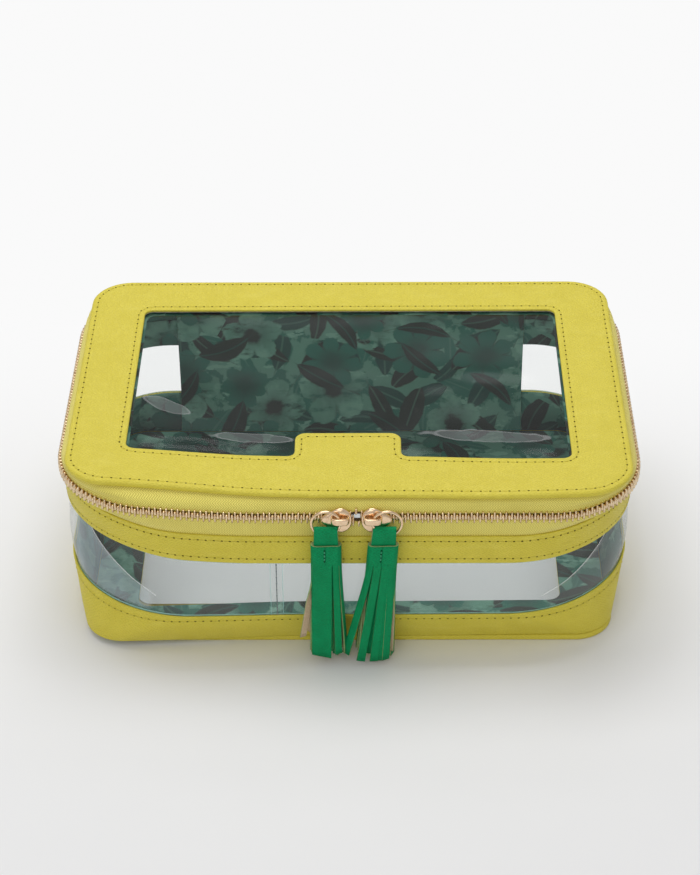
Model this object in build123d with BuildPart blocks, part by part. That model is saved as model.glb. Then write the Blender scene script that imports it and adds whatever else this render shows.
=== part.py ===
"""Zip-round mahjong case with clear windows, two sliders and two leather tassels.

Millimetres, +Z up, front towards -Y. The origin is the centre of the underside.
Every ring of the wall is a rounded rectangle set in by so much from the zip chain's
centre line. The foot and the lid have small corners and the soft wall between them
draws in at its front corners, so each height has its own corner radii.
"""
from build123d import *
from math import atan2, degrees
import os

os.makedirs("parts", exist_ok=True)

# ---- driving dimensions of the case -------------------------------------------
width = 262.0  # across the zip chain's centre line
depth = 185.0
corner_r = 40.0

# corner radii at the chain's centre line, by height; a ply's own is less its inset
foot_corner_r = 26.5
lower_corner_r = 60.0  # front corners at the top of the lower band
upper_corner_r = 60.0  # at the foot of the upper band
upper_top_corner_r = 58.0
lid_corner_r = 22.5

# plies
leather_t = 1.0
lining_t = 0.5
clear_t = 0.5  # clear sheet
board_t = 1.0
tape_t = 0.6
ply_gap = 0.05  # between plies that are sewn face to face
seam_gap = 0.1  # between edges that are sewn side by side

# wall, from the foot up; each inset is that of the leather's outer face
foot_z = 3.0
foot_inset = 8.5
lower_h = 18.5
lower_inset = 0.5
clear_h = 29.5  # clear sheet seen between the bands
upper_h = 15.0
upper_inset = 1.0
tape_show = 12.0  # upper band to the chain's centre line
sheet_tuck = 6.0  # clear sheet behind the upper band

# floor
floor_end_margin = 23.0  # window's end to the foot's end
floor_side_margin = 26.0
window_r = 6.0
window_lap = 8.0  # clear sheet sewn under the frame round a window
binding_w = 3.0
floor_clear = 0.8  # floor plies to the wall plies

# back panel
panel_end = 3.0  # from the panel's side edge to where the case's corner begins
panel_drop = 2.0  # panel's top edge below the chain's centre line
panel_board_t = 1.2
panel_board_drop = 6.0

# sheet overlap on the front wall
overlap_x = -35.0
overlap_w = 5.5

# lid
lid_rise = 11.5  # chain's centre line to the top of the lid
lid_inset = 3.5
lid_skirt_h = 2.0
lid_margin = 27.0  # leather round the window
tab_w = 48.0
tab_h = 18.0
tab_r = 5.0
tape_seat_h = 1.9  # zip tape behind the lid's turned edge
lid_binding_w = 1.0
lid_binding_h = 2.0

# zip chain
tooth_pitch = 2.54
tooth_l = 1.3
tooth_t = 2.4
tooth_h = 1.95
row_gap = 0.9  # between the two rows
tape_straight = 2.0  # tape that stands upright beside the teeth
chain_end = 2.0  # past the back panel's edge
stop_l = 3.0

# sliders
meet_x = 4.0  # where the two sliders meet
nose_gap = 4.0
slider_l = 12.0
nose_half = 5.3
nose_flat = 5.0
tail_half = 3.2
plate_t = 1.0
plate_gap = 0.25  # to the teeth
back_half = 3.2
divider_t = 0.5
divider_l = 3.0
cap_l = 8.0
cap_start = 1.2  # from the nose
cap_w = 2.2
cap_t = 0.9
ring_lift = 2.6  # ring's plane above the slider's plate
ring_gap = 0.3

# pull rings and tassels
ring_r = 6.35  # wire's centre line
wire_r = 0.65
strap_w = 10.0
strap_t = 0.9
strap_h = 9.6
strap_tail = 6.0
head_w = 13.3
head_t = 7.0
head_h = 11.2
fringe_w = 19.0
tip_z = 4.0  # strips' tips above the table

# ---- values worked out from these ---------------------------------------------
lower_top_z = foot_z + lower_h
upper_z = lower_top_z + clear_h
upper_top_z = upper_z + upper_h
chain_z = upper_top_z + tape_show
case_h = chain_z + lid_rise
panel_top_z = chain_z - panel_drop
panel_half = width / 2 - corner_r - panel_end
chain_end_x = panel_half + chain_end
sheet_top_z = upper_z + sheet_tuck
floor_window_l = width - 2 * (foot_inset + floor_end_margin)
floor_window_w = depth - 2 * (foot_inset + floor_side_margin)
lid_window_l = width - 2 * (lid_inset + lid_margin)
lid_window_w = depth - 2 * (lid_inset + lid_margin)
lid_top_z = case_h - leather_t
skirt_z = lid_top_z - lid_skirt_h
lid_board_z = lid_top_z - ply_gap - board_t
lid_sheet_z = lid_board_z - ply_gap - clear_t
lid_lining_z = lid_sheet_z - ply_gap - lining_t
sheet_depth = leather_t + ply_gap
wall_lining_depth = sheet_depth + clear_t + ply_gap
tape_inset = -tape_t / 2
tape_seat_inset = upper_inset + leather_t + ply_gap
lid_tape_inset = lid_inset + leather_t + ply_gap
lid_inner_inset = lid_tape_inset + tape_t + 2 * seam_gap
lower_tooth_z = chain_z - row_gap / 2 - tooth_h
upper_tooth_z = chain_z + row_gap / 2
plate_y = tooth_t / 2 + plate_gap  # plate's inner face from the chain's plane
ring_y = -depth / 2 - plate_y - plate_t - ring_lift
chain_y = -depth / 2

foot_corners = (foot_corner_r, foot_corner_r)  # front, back
chain_corners = (corner_r, corner_r)
lid_corners = (lid_corner_r, lid_corner_r)

# height, inset and the front and back corner radii
wall_levels = [
    (foot_z, foot_inset, *foot_corners),
    (lower_top_z, lower_inset, lower_corner_r, corner_r),
    (upper_z, upper_inset, upper_corner_r, corner_r),
    (upper_top_z, upper_inset, upper_top_corner_r, corner_r),
]


def wall_shape(z):
    """Inset and front and back corner radii of the wall's outer face at height z."""
    for low, high in zip(wall_levels, wall_levels[1:]):
        if z <= high[0]:
            share = (z - low[0]) / (high[0] - low[0])
            return [a + (b - a) * share for a, b in zip(low[1:], high[1:])]
    return wall_levels[-1][1:]


def wall_inset(z):
    """Inset of the wall's outer face at height z."""
    return wall_shape(z)[0]


def wall_corners(z):
    """Front and back corner radii of the wall at height z, at the chain's centre line."""
    return tuple(wall_shape(z)[1:])


def wall_heights(z0, z1):
    """Heights of a wall ply between z0 and z1, with the knees it crosses."""
    knees = [level[0] for level in wall_levels if z0 < level[0] < z1]
    return [z0, *knees, z1]


def save(part, name):
    part.label = name
    export_step(part, f"parts/{name}.step")


def outline(inset, corners):
    """Outline of the case, set in from the chain's; corners are its front and back radii."""
    Rectangle(width - 2 * inset, depth - 2 * inset)
    fillet(vertices().group_by(Axis.Y)[0], corners[0] - inset)
    fillet(vertices().group_by(Axis.Y)[-1], corners[1] - inset)


def ring_wall(levels, thick):
    """Closed wall through rounded outlines, a list of (height, outer inset, corners)."""
    with BuildPart() as wall:
        for z, inset, corners in levels:
            with BuildSketch(Plane.XY.offset(z)):
                outline(inset, corners)
        loft(ruled=True)
        for z, inset, corners in levels:
            with BuildSketch(Plane.XY.offset(z)):
                outline(inset + thick, corners)
        loft(ruled=True, mode=Mode.SUBTRACT)
    return wall.part


def open_back(part, half):
    """Cut the back out of a ring, between -half and half across the case."""
    with BuildPart() as cut:
        add(part)
        with BuildSketch(Plane.XY):
            with Locations((0, depth / 2)):
                Rectangle(2 * half, depth / 2)
        extrude(amount=case_h, mode=Mode.SUBTRACT)
    return cut.part


def wall_ply(name, z0, z1, into, thick):
    """One ply of the wall, open at the back where the back panel closes it."""
    levels = [(z, wall_inset(z) + into, wall_corners(z)) for z in wall_heights(z0, z1)]
    save(open_back(ring_wall(levels, thick), panel_half + seam_gap), name)


def back_plate(name, points, thick, half):
    """Flat plate across the back; points are (outer y, z) from the foot up."""
    inner = [(y - thick, z) for y, z in reversed(points)]
    with BuildPart() as plate:
        with BuildSketch(Plane.YZ.offset(-half)):
            with BuildLine():
                Polyline(*points, *inner, close=True)
            make_face()
        extrude(amount=2 * half)
    save(plate.part, name)


def window_sheet(name, z, length, breadth):
    """Clear sheet behind a window, with the lap that is sewn under the frame."""
    with BuildPart() as sheet:
        with BuildSketch(Plane.XY.offset(z)):
            RectangleRounded(length + 2 * window_lap, breadth + 2 * window_lap, window_r)
        extrude(amount=clear_t)
    save(sheet.part, name)


def frame_ply(name, z, thick, inset, corners, length, breadth):
    """One flat ply of a frame round a window."""
    with BuildPart() as ply:
        with BuildSketch(Plane.XY.offset(z)):
            outline(inset, corners)
            RectangleRounded(length, breadth, window_r, mode=Mode.SUBTRACT)
        extrude(amount=thick)
    save(ply.part, name)


def flat_ring(z, height, inset, corners, breadth):
    """Flat binding that follows the case's outline."""
    with BuildPart() as ring:
        with BuildSketch(Plane.XY.offset(z)):
            outline(inset, corners)
        extrude(amount=height)
        with BuildSketch(Plane.XY.offset(z)):
            outline(inset + breadth, corners)
        extrude(amount=height, mode=Mode.SUBTRACT)
    return ring.part


# ---- base ---------------------------------------------------------------------
def make_wall():
    wall_ply("lower_band", foot_z, lower_top_z, 0, leather_t)
    wall_ply("lower_band_lining", foot_z, lower_top_z, wall_lining_depth, lining_t)
    wall_ply("side_window", foot_z, sheet_top_z, sheet_depth, clear_t)
    wall_ply("upper_band", upper_z, upper_top_z, 0, leather_t)
    lining_depth = max(wall_lining_depth, sheet_depth + tape_t + ply_gap)
    wall_ply("upper_band_lining", upper_z, upper_top_z, lining_depth, lining_t)


def make_sheet_overlap():
    """Strip where the clear sheet's two ends are sewn over each other."""
    z0 = lower_top_z + seam_gap
    z1 = upper_z - seam_gap
    y0 = chain_y + wall_inset(z0) + sheet_depth - ply_gap
    y1 = chain_y + wall_inset(z1) + sheet_depth - ply_gap
    with BuildPart() as strip:
        with BuildSketch(Plane.YZ.offset(overlap_x)):
            with BuildLine():
                Polyline((y0, z0), (y1, z1), (y1 - clear_t, z1), (y0 - clear_t, z0), close=True)
            make_face()
        extrude(amount=overlap_w)
    save(strip.part, "side_window_overlap")


def make_floor():
    board_z = leather_t + ply_gap
    lining_z = board_z + board_t + ply_gap
    lining_inset = foot_inset + max(wall_lining_depth + lining_t, binding_w) + floor_clear
    window = (floor_window_l, floor_window_w)
    frame_ply("bottom_frame", 0, leather_t, foot_inset, foot_corners, *window)
    binding = flat_ring(board_z, foot_z - ply_gap - board_z, foot_inset, foot_corners, binding_w)
    save(binding, "bottom_seam_binding")
    window_sheet("bottom_window", board_z, floor_window_l, floor_window_w)
    lap = 2 * (window_lap + seam_gap)
    board_inset = foot_inset + binding_w + seam_gap
    board_l = floor_window_l + lap
    board_w = floor_window_w + lap
    frame_ply("bottom_stiffener", board_z, board_t, board_inset, foot_corners, board_l, board_w)
    frame_ply("bottom_lining", lining_z, lining_t, lining_inset, foot_corners, *window)


def make_back():
    """Leather panel, its board and its lining, which close the back of the wall."""

    def surface(z0, z1, into):
        return [(-chain_y - wall_inset(z) - into, z) for z in wall_heights(z0, z1)]

    board_in = leather_t + ply_gap
    lining_in = board_in + panel_board_t + ply_gap
    board_top = panel_top_z - panel_board_drop
    back_plate("back_panel", surface(foot_z, panel_top_z, 0), leather_t, panel_half)
    back_plate("back_panel_board", surface(foot_z, board_top, board_in), panel_board_t, panel_half)
    back_plate("back_panel_lining", surface(foot_z, panel_top_z, lining_in), lining_t, panel_half)


# ---- zip chain ----------------------------------------------------------------
def chain_line():
    """Path of the chain, from its left end behind, round the front, to its right end."""
    with BuildLine() as line:
        FilletPolyline(
            (-chain_end_x, -chain_y),
            (-width / 2, -chain_y),
            (-width / 2, chain_y),
            (width / 2, chain_y),
            (width / 2, -chain_y),
            (chain_end_x, -chain_y),
            radius=corner_r,
        )
    return line.wire()


def chain_place(path, along, z):
    """Location on the chain at a length along it, with X along the chain."""
    share = along / path.length
    point = path @ share
    tangent = path % share
    return Location((point.X, point.Y, z), (0, 0, degrees(atan2(tangent.Y, tangent.X))))


def make_teeth(name, z, shift):
    path = chain_line()
    start = stop_l + tooth_pitch
    count = int((path.length - 2 * start) / tooth_pitch)
    places = [
        chain_place(path, start + (i + shift) * tooth_pitch, z + tooth_h / 2) for i in range(count)
    ]
    with BuildPart() as teeth:
        with Locations(*places):
            Box(tooth_l, tooth_t, tooth_h)
    save(teeth.part, name)


def make_chain():
    tape_z0 = sheet_top_z + ply_gap
    straight_z = lower_tooth_z - ply_gap - tape_straight
    tape_z1 = lower_tooth_z - ply_gap
    lower = [
        (tape_z0, tape_seat_inset, wall_corners(tape_z0)),
        (upper_top_z, tape_seat_inset, wall_corners(upper_top_z)),
        (straight_z, tape_inset, chain_corners),
        (tape_z1, tape_inset, chain_corners),
    ]
    save(open_back(ring_wall(lower, tape_t), panel_half + seam_gap), "zipper_tape_lower")
    make_teeth("zipper_teeth_lower", lower_tooth_z, 0)
    make_teeth("zipper_teeth_upper", upper_tooth_z, 0.5)
    tape_bottom = upper_tooth_z + tooth_h + ply_gap
    upper = [
        (tape_bottom, tape_inset, chain_corners),
        (tape_bottom + tape_straight, tape_inset, chain_corners),
        (lid_top_z - ply_gap - tape_seat_h - seam_gap, lid_tape_inset, lid_corners),
        (lid_top_z - ply_gap, lid_tape_inset, lid_corners),
    ]
    save(open_back(ring_wall(upper, tape_t), panel_half + seam_gap), "zipper_tape_upper")
    path = chain_line()
    for side, along in (("left", stop_l / 2), ("right", path.length - stop_l / 2)):
        with BuildPart() as stop:
            with Locations(chain_place(path, along, lower_tooth_z + tooth_h / 2)):
                Box(stop_l, tooth_t, tooth_h)
        save(stop.part, f"zipper_stop_{side}")


# ---- lid ----------------------------------------------------------------------
def tab(mode):
    """Tab that stands into the lid's window from the middle of its front edge."""
    with Locations((0, (tab_h - lid_window_w) / 2 - tab_r)):
        RectangleRounded(tab_w, tab_h + 2 * tab_r, tab_r, mode=mode)


def make_lid():
    with BuildPart() as frame:
        with BuildSketch(Plane.XY.offset(skirt_z)):
            outline(lid_inset, lid_corners)
        extrude(amount=case_h - skirt_z)
        with BuildSketch(Plane.XY.offset(skirt_z)):
            outline(lid_inset + leather_t, lid_corners)
        extrude(amount=lid_skirt_h, mode=Mode.SUBTRACT)
        with BuildSketch(Plane.XY.offset(lid_top_z)):
            RectangleRounded(lid_window_l, lid_window_w, window_r)
            tab(Mode.SUBTRACT)
        extrude(amount=leather_t, mode=Mode.SUBTRACT)
    save(frame.part, "lid_frame")
    with BuildPart() as board:
        with BuildSketch(Plane.XY.offset(lid_board_z)):
            outline(lid_inner_inset, lid_corners)
            RectangleRounded(lid_window_l, lid_window_w, window_r, mode=Mode.SUBTRACT)
            tab(Mode.ADD)
        extrude(amount=board_t)
    save(board.part, "lid_board")
    window_sheet("lid_window", lid_sheet_z, lid_window_l, lid_window_w)
    window = (lid_window_l, lid_window_w)
    frame_ply("lid_lining", lid_lining_z, lining_t, lid_inner_inset, lid_corners, *window)
    binding_z = lid_lining_z - ply_gap - lid_binding_h
    binding = flat_ring(binding_z, lid_binding_h, lid_inner_inset, chain_corners, lid_binding_w)
    save(binding, "lid_seam_binding")


def make_hinge_strip():
    """Leather that bends between the back panel and the lid."""
    y0 = -chain_y - wall_inset(panel_top_z)
    y1 = -chain_y - lid_inset
    z0 = panel_top_z + seam_gap
    z1 = skirt_z - ply_gap
    back_plate("hinge_strip", [(y0, z0), (y1, z1)], leather_t, panel_half)


# ---- sliders, rings and tassels -----------------------------------------------
def make_slider(side, way):
    """Slider whose nose is at the meeting place; way is -1 to the left, +1 to the right."""
    nose = meet_x + way * nose_gap / 2
    tail = nose + way * slider_l
    flat = nose + way * nose_flat
    outer = chain_y - plate_y
    with BuildPart() as body:
        with BuildSketch(Plane.XZ.offset(-outer)):
            with BuildLine():
                Polyline(
                    (nose, chain_z - nose_half),
                    (flat, chain_z - nose_half),
                    (tail, chain_z - tail_half),
                    (tail, chain_z + tail_half),
                    (flat, chain_z + nose_half),
                    (nose, chain_z + nose_half),
                    close=True,
                )
            make_face()
        extrude(amount=plate_t)
        with BuildSketch(Plane.XZ.offset(-chain_y - plate_y)):
            with Locations(((nose + tail) / 2, chain_z)):
                Rectangle(slider_l, 2 * back_half)
        extrude(amount=-plate_t)
        with BuildSketch(Plane.XZ.offset(-chain_y - plate_y)):
            with Locations((nose + way * divider_l / 2, chain_z)):
                Rectangle(divider_l, divider_t)
        extrude(amount=2 * plate_y)
    save(body.part, f"slider_body_{side}")


def make_cap(side, way):
    """Arched cap that holds the ring on the slider."""
    near = meet_x + way * (nose_gap / 2 + cap_start)
    far = near + way * cap_l
    face = chain_y - plate_y - plate_t
    inside = ring_lift + wire_r + ring_gap
    with BuildPart() as cap:
        with BuildSketch(Plane.XY.offset(chain_z - cap_w / 2)):
            with Locations(((near + far) / 2, face - (inside + cap_t) / 2)):
                Rectangle(cap_l, inside + cap_t)
            with Locations(((near + far) / 2, face - inside / 2)):
                Rectangle(cap_l - 2 * cap_t, inside, mode=Mode.SUBTRACT)
        extrude(amount=cap_w)
    save(cap.part, f"slider_cap_{side}")


def ring_x(way):
    """Centre of a ring that lies against its slider, towards the tail."""
    cap_mid = meet_x + way * (nose_gap / 2 + cap_start + cap_l / 2)
    return cap_mid + way * ring_r


def make_ring(side, way):
    with BuildPart() as ring:
        with BuildSketch(Plane.XY.offset(chain_z)):
            with Locations((ring_x(way) + ring_r, ring_y)):
                Circle(wire_r)
        revolve(axis=Axis((ring_x(way), ring_y, chain_z), (0, 1, 0)))
    save(ring.part, f"pull_ring_{side}")


def make_tassel(side, way):
    x = ring_x(way)
    ring_inside = ring_r - wire_r
    slot_top = chain_z - (ring_inside**2 - (strap_w / 2) ** 2) ** 0.5 + ring_gap
    slot_bottom = chain_z - ring_r - wire_r - ring_gap
    strap_top = slot_top + strap_t
    half = wire_r + ring_gap
    outer = half + strap_t
    head_z = strap_top - strap_h
    with BuildPart() as strap:
        with BuildSketch(Plane.YZ.offset(x - strap_w / 2)):
            with Locations((ring_y, (strap_top + head_z) / 2)):
                Rectangle(2 * outer, strap_top - head_z)
            with Locations((ring_y, (slot_top + slot_bottom) / 2)):
                Rectangle(2 * half, slot_top - slot_bottom, mode=Mode.SUBTRACT)
            with Locations((ring_y, head_z - strap_tail / 2)):
                Rectangle(2 * strap_t, strap_tail)
        extrude(amount=strap_w)
    save(strap.part, f"tassel_strap_{side}")
    with BuildPart() as skirt:
        with BuildSketch(Plane.XY.offset(head_z - ply_gap)):
            with Locations((x, ring_y)):
                SlotOverall(head_w, head_t)
        with BuildSketch(Plane.XY.offset(head_z - head_h)):
            with Locations((x, ring_y)):
                SlotOverall(head_w, head_t)
        with BuildSketch(Plane.XY.offset(tip_z)):
            with Locations((x, ring_y)):
                SlotOverall(fringe_w, head_t)
        loft(ruled=True)
        with BuildSketch(Plane.XY.offset(head_z)):
            with Locations((x, ring_y)):
                Rectangle(strap_w + 2 * ply_gap, 2 * (strap_t + ply_gap))
        extrude(amount=-strap_tail - ply_gap, mode=Mode.SUBTRACT)
    save(skirt.part, f"tassel_skirt_{side}")


make_wall()
make_sheet_overlap()
make_floor()
make_back()
make_chain()
make_lid()
make_hinge_strip()
for side, way in (("left", -1), ("right", 1)):
    make_slider(side, way)
    make_cap(side, way)
    make_ring(side, way)
    make_tassel(side, way)
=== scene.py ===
"""Looks of a zip-round mahjong case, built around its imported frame.

Pieces are worked out in millimetres, in the frame's own axes, and made in metres.
"""
import bmesh
import bpy
import math
import random
from mathutils import Matrix, Vector, noise
from mathutils.geometry import delaunay_2d_cdt


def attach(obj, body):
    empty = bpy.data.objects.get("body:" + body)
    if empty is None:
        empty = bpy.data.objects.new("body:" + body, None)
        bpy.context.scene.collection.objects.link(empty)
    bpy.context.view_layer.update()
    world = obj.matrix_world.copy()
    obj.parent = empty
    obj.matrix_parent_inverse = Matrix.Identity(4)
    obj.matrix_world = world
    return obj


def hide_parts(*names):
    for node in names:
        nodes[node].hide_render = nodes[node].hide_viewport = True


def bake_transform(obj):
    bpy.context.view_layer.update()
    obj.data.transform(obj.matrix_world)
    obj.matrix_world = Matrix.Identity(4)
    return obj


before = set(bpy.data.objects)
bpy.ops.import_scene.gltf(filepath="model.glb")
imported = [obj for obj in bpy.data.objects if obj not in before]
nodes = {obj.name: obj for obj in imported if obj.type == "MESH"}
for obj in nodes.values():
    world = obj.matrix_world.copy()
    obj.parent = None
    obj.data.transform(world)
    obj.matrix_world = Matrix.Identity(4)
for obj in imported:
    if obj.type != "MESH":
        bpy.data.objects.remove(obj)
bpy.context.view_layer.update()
MM = 0.001

# ---- sizes, as the frame has them --------------------------------------------
width = 262.0
depth = 185.0
corner_r = 40.0
leather_t = 1.0
foot_inset = 8.5
foot_z = 3.0
lower_inset = 0.5
lower_top_z = 21.5
upper_inset = 1.0
upper_z = 51.0
upper_top_z = 66.0
sheet_top_z = 57.0
sheet_depth = 1.05
lining_depth = 1.6
upper_lining_depth = 1.7
chain_z = 78.0
case_h = 89.5
lid_inset = 3.5
skirt_z = 86.5
lid_sheet_z = 87.15
lid_lining_z = 86.6
floor_lining_z = 2.6
panel_half = 88.0
panel_top_z = 76.0
window_r = 6.0
lid_window_r = 4.0
lid_window = (201.0, 124.0)
floor_window = (199.0, 116.0)
tab_w = 48.0
tab_h = 18.0
tab_r = 5.0
tab_foot_r = 3.5
overlap_x = (-35.0, -29.5)
meet_x = 4.0
ring_y = -97.55
ring_r = 6.35
wire_r = 0.65

# ---- sizes of what only this script makes ------------------------------------
front_kept = 60.0  # half the front's middle, where a run keeps its place at every height
floor_lining_inset = 10.8
panel_lining_depth = 2.6
panel_row = 2.6  # from the back panel's edges to its stitches
lid_board_inset = 5.4
lid_board_zs = (87.5, 87.9, 88.35)
tab_back_z = 87.42
tape_t = 0.6
tooth_pitch = 2.54
wall_pitch = 3.6
nose_off = 2.0  # a slider's nose from the middle of the gap
arch_off = 1.2  # its arch from its nose
arch_half = 4.0
head_half = (6.85, 3.2)  # a tassel's rolled head: half its length and half its depth
fringe_half = (6.87, 3.22)
head_points = 48
head_top = 66.8
head_bottom = 56.6

half_w = width / 2 - corner_r
arc_l = corner_r * math.pi / 2
quarter_l = (width + depth) / 2 - (2 - math.pi / 2) * corner_r
line_l = 4 * quarter_l
back_run = line_l / 2
wall_end = back_run - panel_half - 0.1
fold_runs = (half_w - 2.0, half_w + arc_l * 0.72)  # the clear sheet's corner folds
fold_zs = (29.5, 55.0)

# height, and the radii of the front and the back corners there, on the zip's line
corners = [
    (foot_z, 26.5, 26.5),
    (lower_top_z, 60.0, 40.0),
    (upper_z, 60.0, 40.0),
    (upper_top_z, 58.0, 40.0),
    (73.5, 40.0, 40.0),
    (82.45, 40.0, 40.0),
    (86.45, 22.5, 22.5),
]


# ---- the case's outline ------------------------------------------------------
def smoothstep(low, high, value):
    t = min(1.0, max(0.0, (value - low) / (high - low)))
    return t * t * (3 - 2 * t)


def corner_radii(z):
    """Radii of the front and the back corners at height z."""
    if z <= corners[0][0]:
        return corners[0][1:]
    for (z0, *a), (z1, *b) in zip(corners, corners[1:]):
        if z <= z1:
            t = (z - z0) / (z1 - z0)
            return [p + (q - p) * t for p, q in zip(a, b)]
    return corners[-1][1:]


def on_line(run, z=chain_z):
    """Place on the zip's line and the way out there; run 0 is the middle of the front."""
    run = (run + back_run) % line_l - back_run
    side = -1 if run < 0 else 1
    run = abs(run)
    front = run <= quarter_l
    ahead = run if front else back_run - run
    radius = corner_radii(z)[0 if front else 1]
    own_l = (width + depth) / 2 - (2 - math.pi / 2) * radius
    kept = front_kept if front else panel_half
    if ahead > kept:
        ahead = kept + (ahead - kept) * (own_l - kept) / (quarter_l - kept)
    turn = width / 2 - radius
    arc = radius * math.pi / 2
    if ahead <= turn:
        x, y, out_x, out_y = ahead, depth / 2, 0.0, 1.0
    elif ahead <= turn + arc:
        a = math.pi / 2 - (ahead - turn) / radius
        out_x, out_y = math.cos(a), math.sin(a)
        x, y = turn + radius * out_x, depth / 2 - radius + radius * out_y
    else:
        x, y, out_x, out_y = width / 2, own_l - ahead, 1.0, 0.0
    way = -1 if front else 1
    return side * x, way * y, side * out_x, way * out_y


def at(run, inset, z):
    """A point of the case, set in by so much from the zip's line."""
    x, y, out_x, out_y = on_line(run, z)
    return (x - out_x * inset, y - out_y * inset, z)


def wall_inset(z):
    """Inset of the wall's outer face at height z."""
    levels = [
        (foot_z, foot_inset),
        (lower_top_z, lower_inset),
        (upper_z, upper_inset),
        (upper_top_z, upper_inset),
    ]
    for (z0, a), (z1, b) in zip(levels, levels[1:]):
        if z <= z1:
            return a + (b - a) * (z - z0) / (z1 - z0)
    return upper_inset


def runs(start, end, pitch):
    """Evenly spaced runs from start to end."""
    count = max(2, round((end - start) / pitch))
    return [start + (end - start) * i / count for i in range(count + 1)]


def all_round():
    """Runs once round the case, without the last that would meet the first."""
    return runs(-back_run, back_run, 3.0)[:-1]


def fold_share(run):
    """How far along a corner fold of the clear sheet a run is, from 0 to 1."""
    return (abs(run) - fold_runs[0]) / (fold_runs[1] - fold_runs[0])


def fold_ridge(share):
    """Height of the fold's ridge there."""
    return fold_zs[0] + (fold_zs[1] - fold_zs[0]) * share


def boxy(value, power):
    """A sine or cosine raised to a power with its sign kept: round sections turn boxy below 1."""
    return math.copysign(abs(value) ** power, value)


def settle(p):
    """The soft case has settled: front corners pushed back, sides swollen, the lid sagging."""
    x, y, z = p
    front = smoothstep(60, -75, y)
    back = 7.5 * smoothstep(-40, -130, x) + 1.2 * smoothstep(90, 130, x)
    y += back * front * smoothstep(6, 55, z)
    foot = 4.0 * smoothstep(-15, -110, x) - 0.8 * smoothstep(15, 110, x)
    y -= foot * front * smoothstep(42, 10, z)
    puff = smoothstep(14, 34, z) * smoothstep(76, 62, z) * smoothstep(85, 30, y)
    x += puff * (1.3 * smoothstep(95, 128, x) - 2.6 * smoothstep(-90, -128, x))
    on_lid = front * smoothstep(82, 87, z)
    forward = 2.0 * smoothstep(20, 80, x) * smoothstep(126, 100, x) - 1.6 * smoothstep(-10, -80, x)
    y -= on_lid * forward
    dip = smoothstep(84, 88, z) * smoothstep(-55, -92, y) * smoothstep(95, 15, abs(x - 12))
    y, z = y - 1.2 * dip, z - 1.0 * dip
    # the chain stands open between the sliders
    off = z - chain_z
    gap = math.exp(-(((x - meet_x) / 2.3) ** 2)) * smoothstep(-88, -91, y)
    gap = gap * smoothstep(6.5, 0.5, abs(off))
    return (x, y, z + math.copysign(1.7 * gap, off))


# painted reflections on the lid's clear sheet, oval patches: middle, half length and width, slope
lid_reflection_ovals = (
    (-84.5, -21.5, 11.0, 5.2, -0.5),
    (-44.0, -46.5, 19.0, 3.8, -0.02),
    (65.0, -42.5, 28.0, 4.4, -0.05),
)


# ---- making meshes -------------------------------------------------------------
class Skin:
    """Points and faces of a piece while it is made; each point keeps its place on the flat cloth."""

    def __init__(self):
        self.points = []
        self.flat = []
        self.faces = []
        self.kinds = []

    def point(self, p, u, v):
        self.points.append(tuple(p))
        self.flat.append((u, v, 0.0))
        return len(self.points) - 1

    def face(self, corners, kind=0):
        self.faces.append(tuple(corners))
        self.kinds.append(kind)

    def grid(self, rows, round_it=False, kinds=None):
        """Quads between rows of points; kinds gives each column's finish."""
        count = len(rows[0])
        columns = count if round_it else count - 1
        for a, b in zip(rows, rows[1:]):
            for i in range(columns):
                j = (i + 1) % count
                kind = kinds[i] if kinds else 0
                self.face((a[i], a[j], b[j], b[i]), kind)

    def loft(self, rows, kinds=None, ends=(0, 0)):
        """Quads round rings of points, with a face at each end; ends gives those two their finish."""
        self.grid(rows, round_it=True, kinds=kinds)
        self.face(rows[0][::-1], ends[0])
        self.face(rows[-1], ends[1])

    def make(self, name, looks, closed=True, weld=0.0, sag=True):
        """The mesh object, with its finishes."""
        mesh = bpy.data.meshes.new(name)
        places = [settle(p) for p in self.points] if sag else self.points
        mesh.from_pydata([[c * MM for c in p] for p in places], [], self.faces)
        run = mesh.attributes.new("run", "FLOAT_VECTOR", "POINT")
        run.data.foreach_set("vector", [c for f in self.flat for c in f])
        for look in looks:
            mesh.materials.append(look)
        mesh.polygons.foreach_set("material_index", self.kinds)
        mesh.polygons.foreach_set("use_smooth", [True] * len(self.faces))
        if closed or weld:
            work = bmesh.new()
            work.from_mesh(mesh)
            if weld:
                bmesh.ops.remove_doubles(work, verts=work.verts, dist=weld * MM)
            if closed:
                bmesh.ops.recalc_face_normals(work, faces=work.faces)
            work.to_mesh(mesh)
            work.free()
        mesh.update()
        piece = bpy.data.objects.new(name, mesh)
        bpy.context.scene.collection.objects.link(piece)
        return piece


def dress(piece, body, slot, *replaced):
    """Puts a piece on its body and hides the solids it stands for."""
    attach(piece, body)
    if replaced:
        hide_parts(*replaced)


def band(name, looks, section, start=-wall_end, end=wall_end, pitch=2.6, kinds=None):
    """A strip swept round the case; section is a closed list of (inset, height)."""
    skin = Skin()
    lengths = [0.0]
    for (a, b), (c, d) in zip(section, section[1:]):
        lengths.append(lengths[-1] + math.hypot(c - a, d - b))
    rows = []
    for run in runs(start, end, pitch):
        rows.append([
            skin.point(at(run, inset, z), run, length)
            for (inset, z), length in zip(section, lengths)
        ])
    skin.loft(rows, kinds)
    return skin.make(name, looks)


def sheet(name, looks, place, across, up):
    """An open sheet; place(u, v) is where the flat point (u, v) lies."""
    skin = Skin()
    rows = [[skin.point(place(u, v), u, v) for u in across] for v in up]
    skin.grid(rows)
    return skin.make(name, looks, closed=False)


def heights(z0, z1, edge):
    """Heights between z0 and z1, closer together at the rounded edges."""
    ends = [edge * (1 - math.cos(math.radians(a))) for a in (0, 30, 55, 75, 90)]
    middle = runs(z0 + edge, z1 - edge, 0.9)[1:-1]
    return [z0 + e for e in ends] + middle + [z1 - e for e in reversed(ends)]


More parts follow.
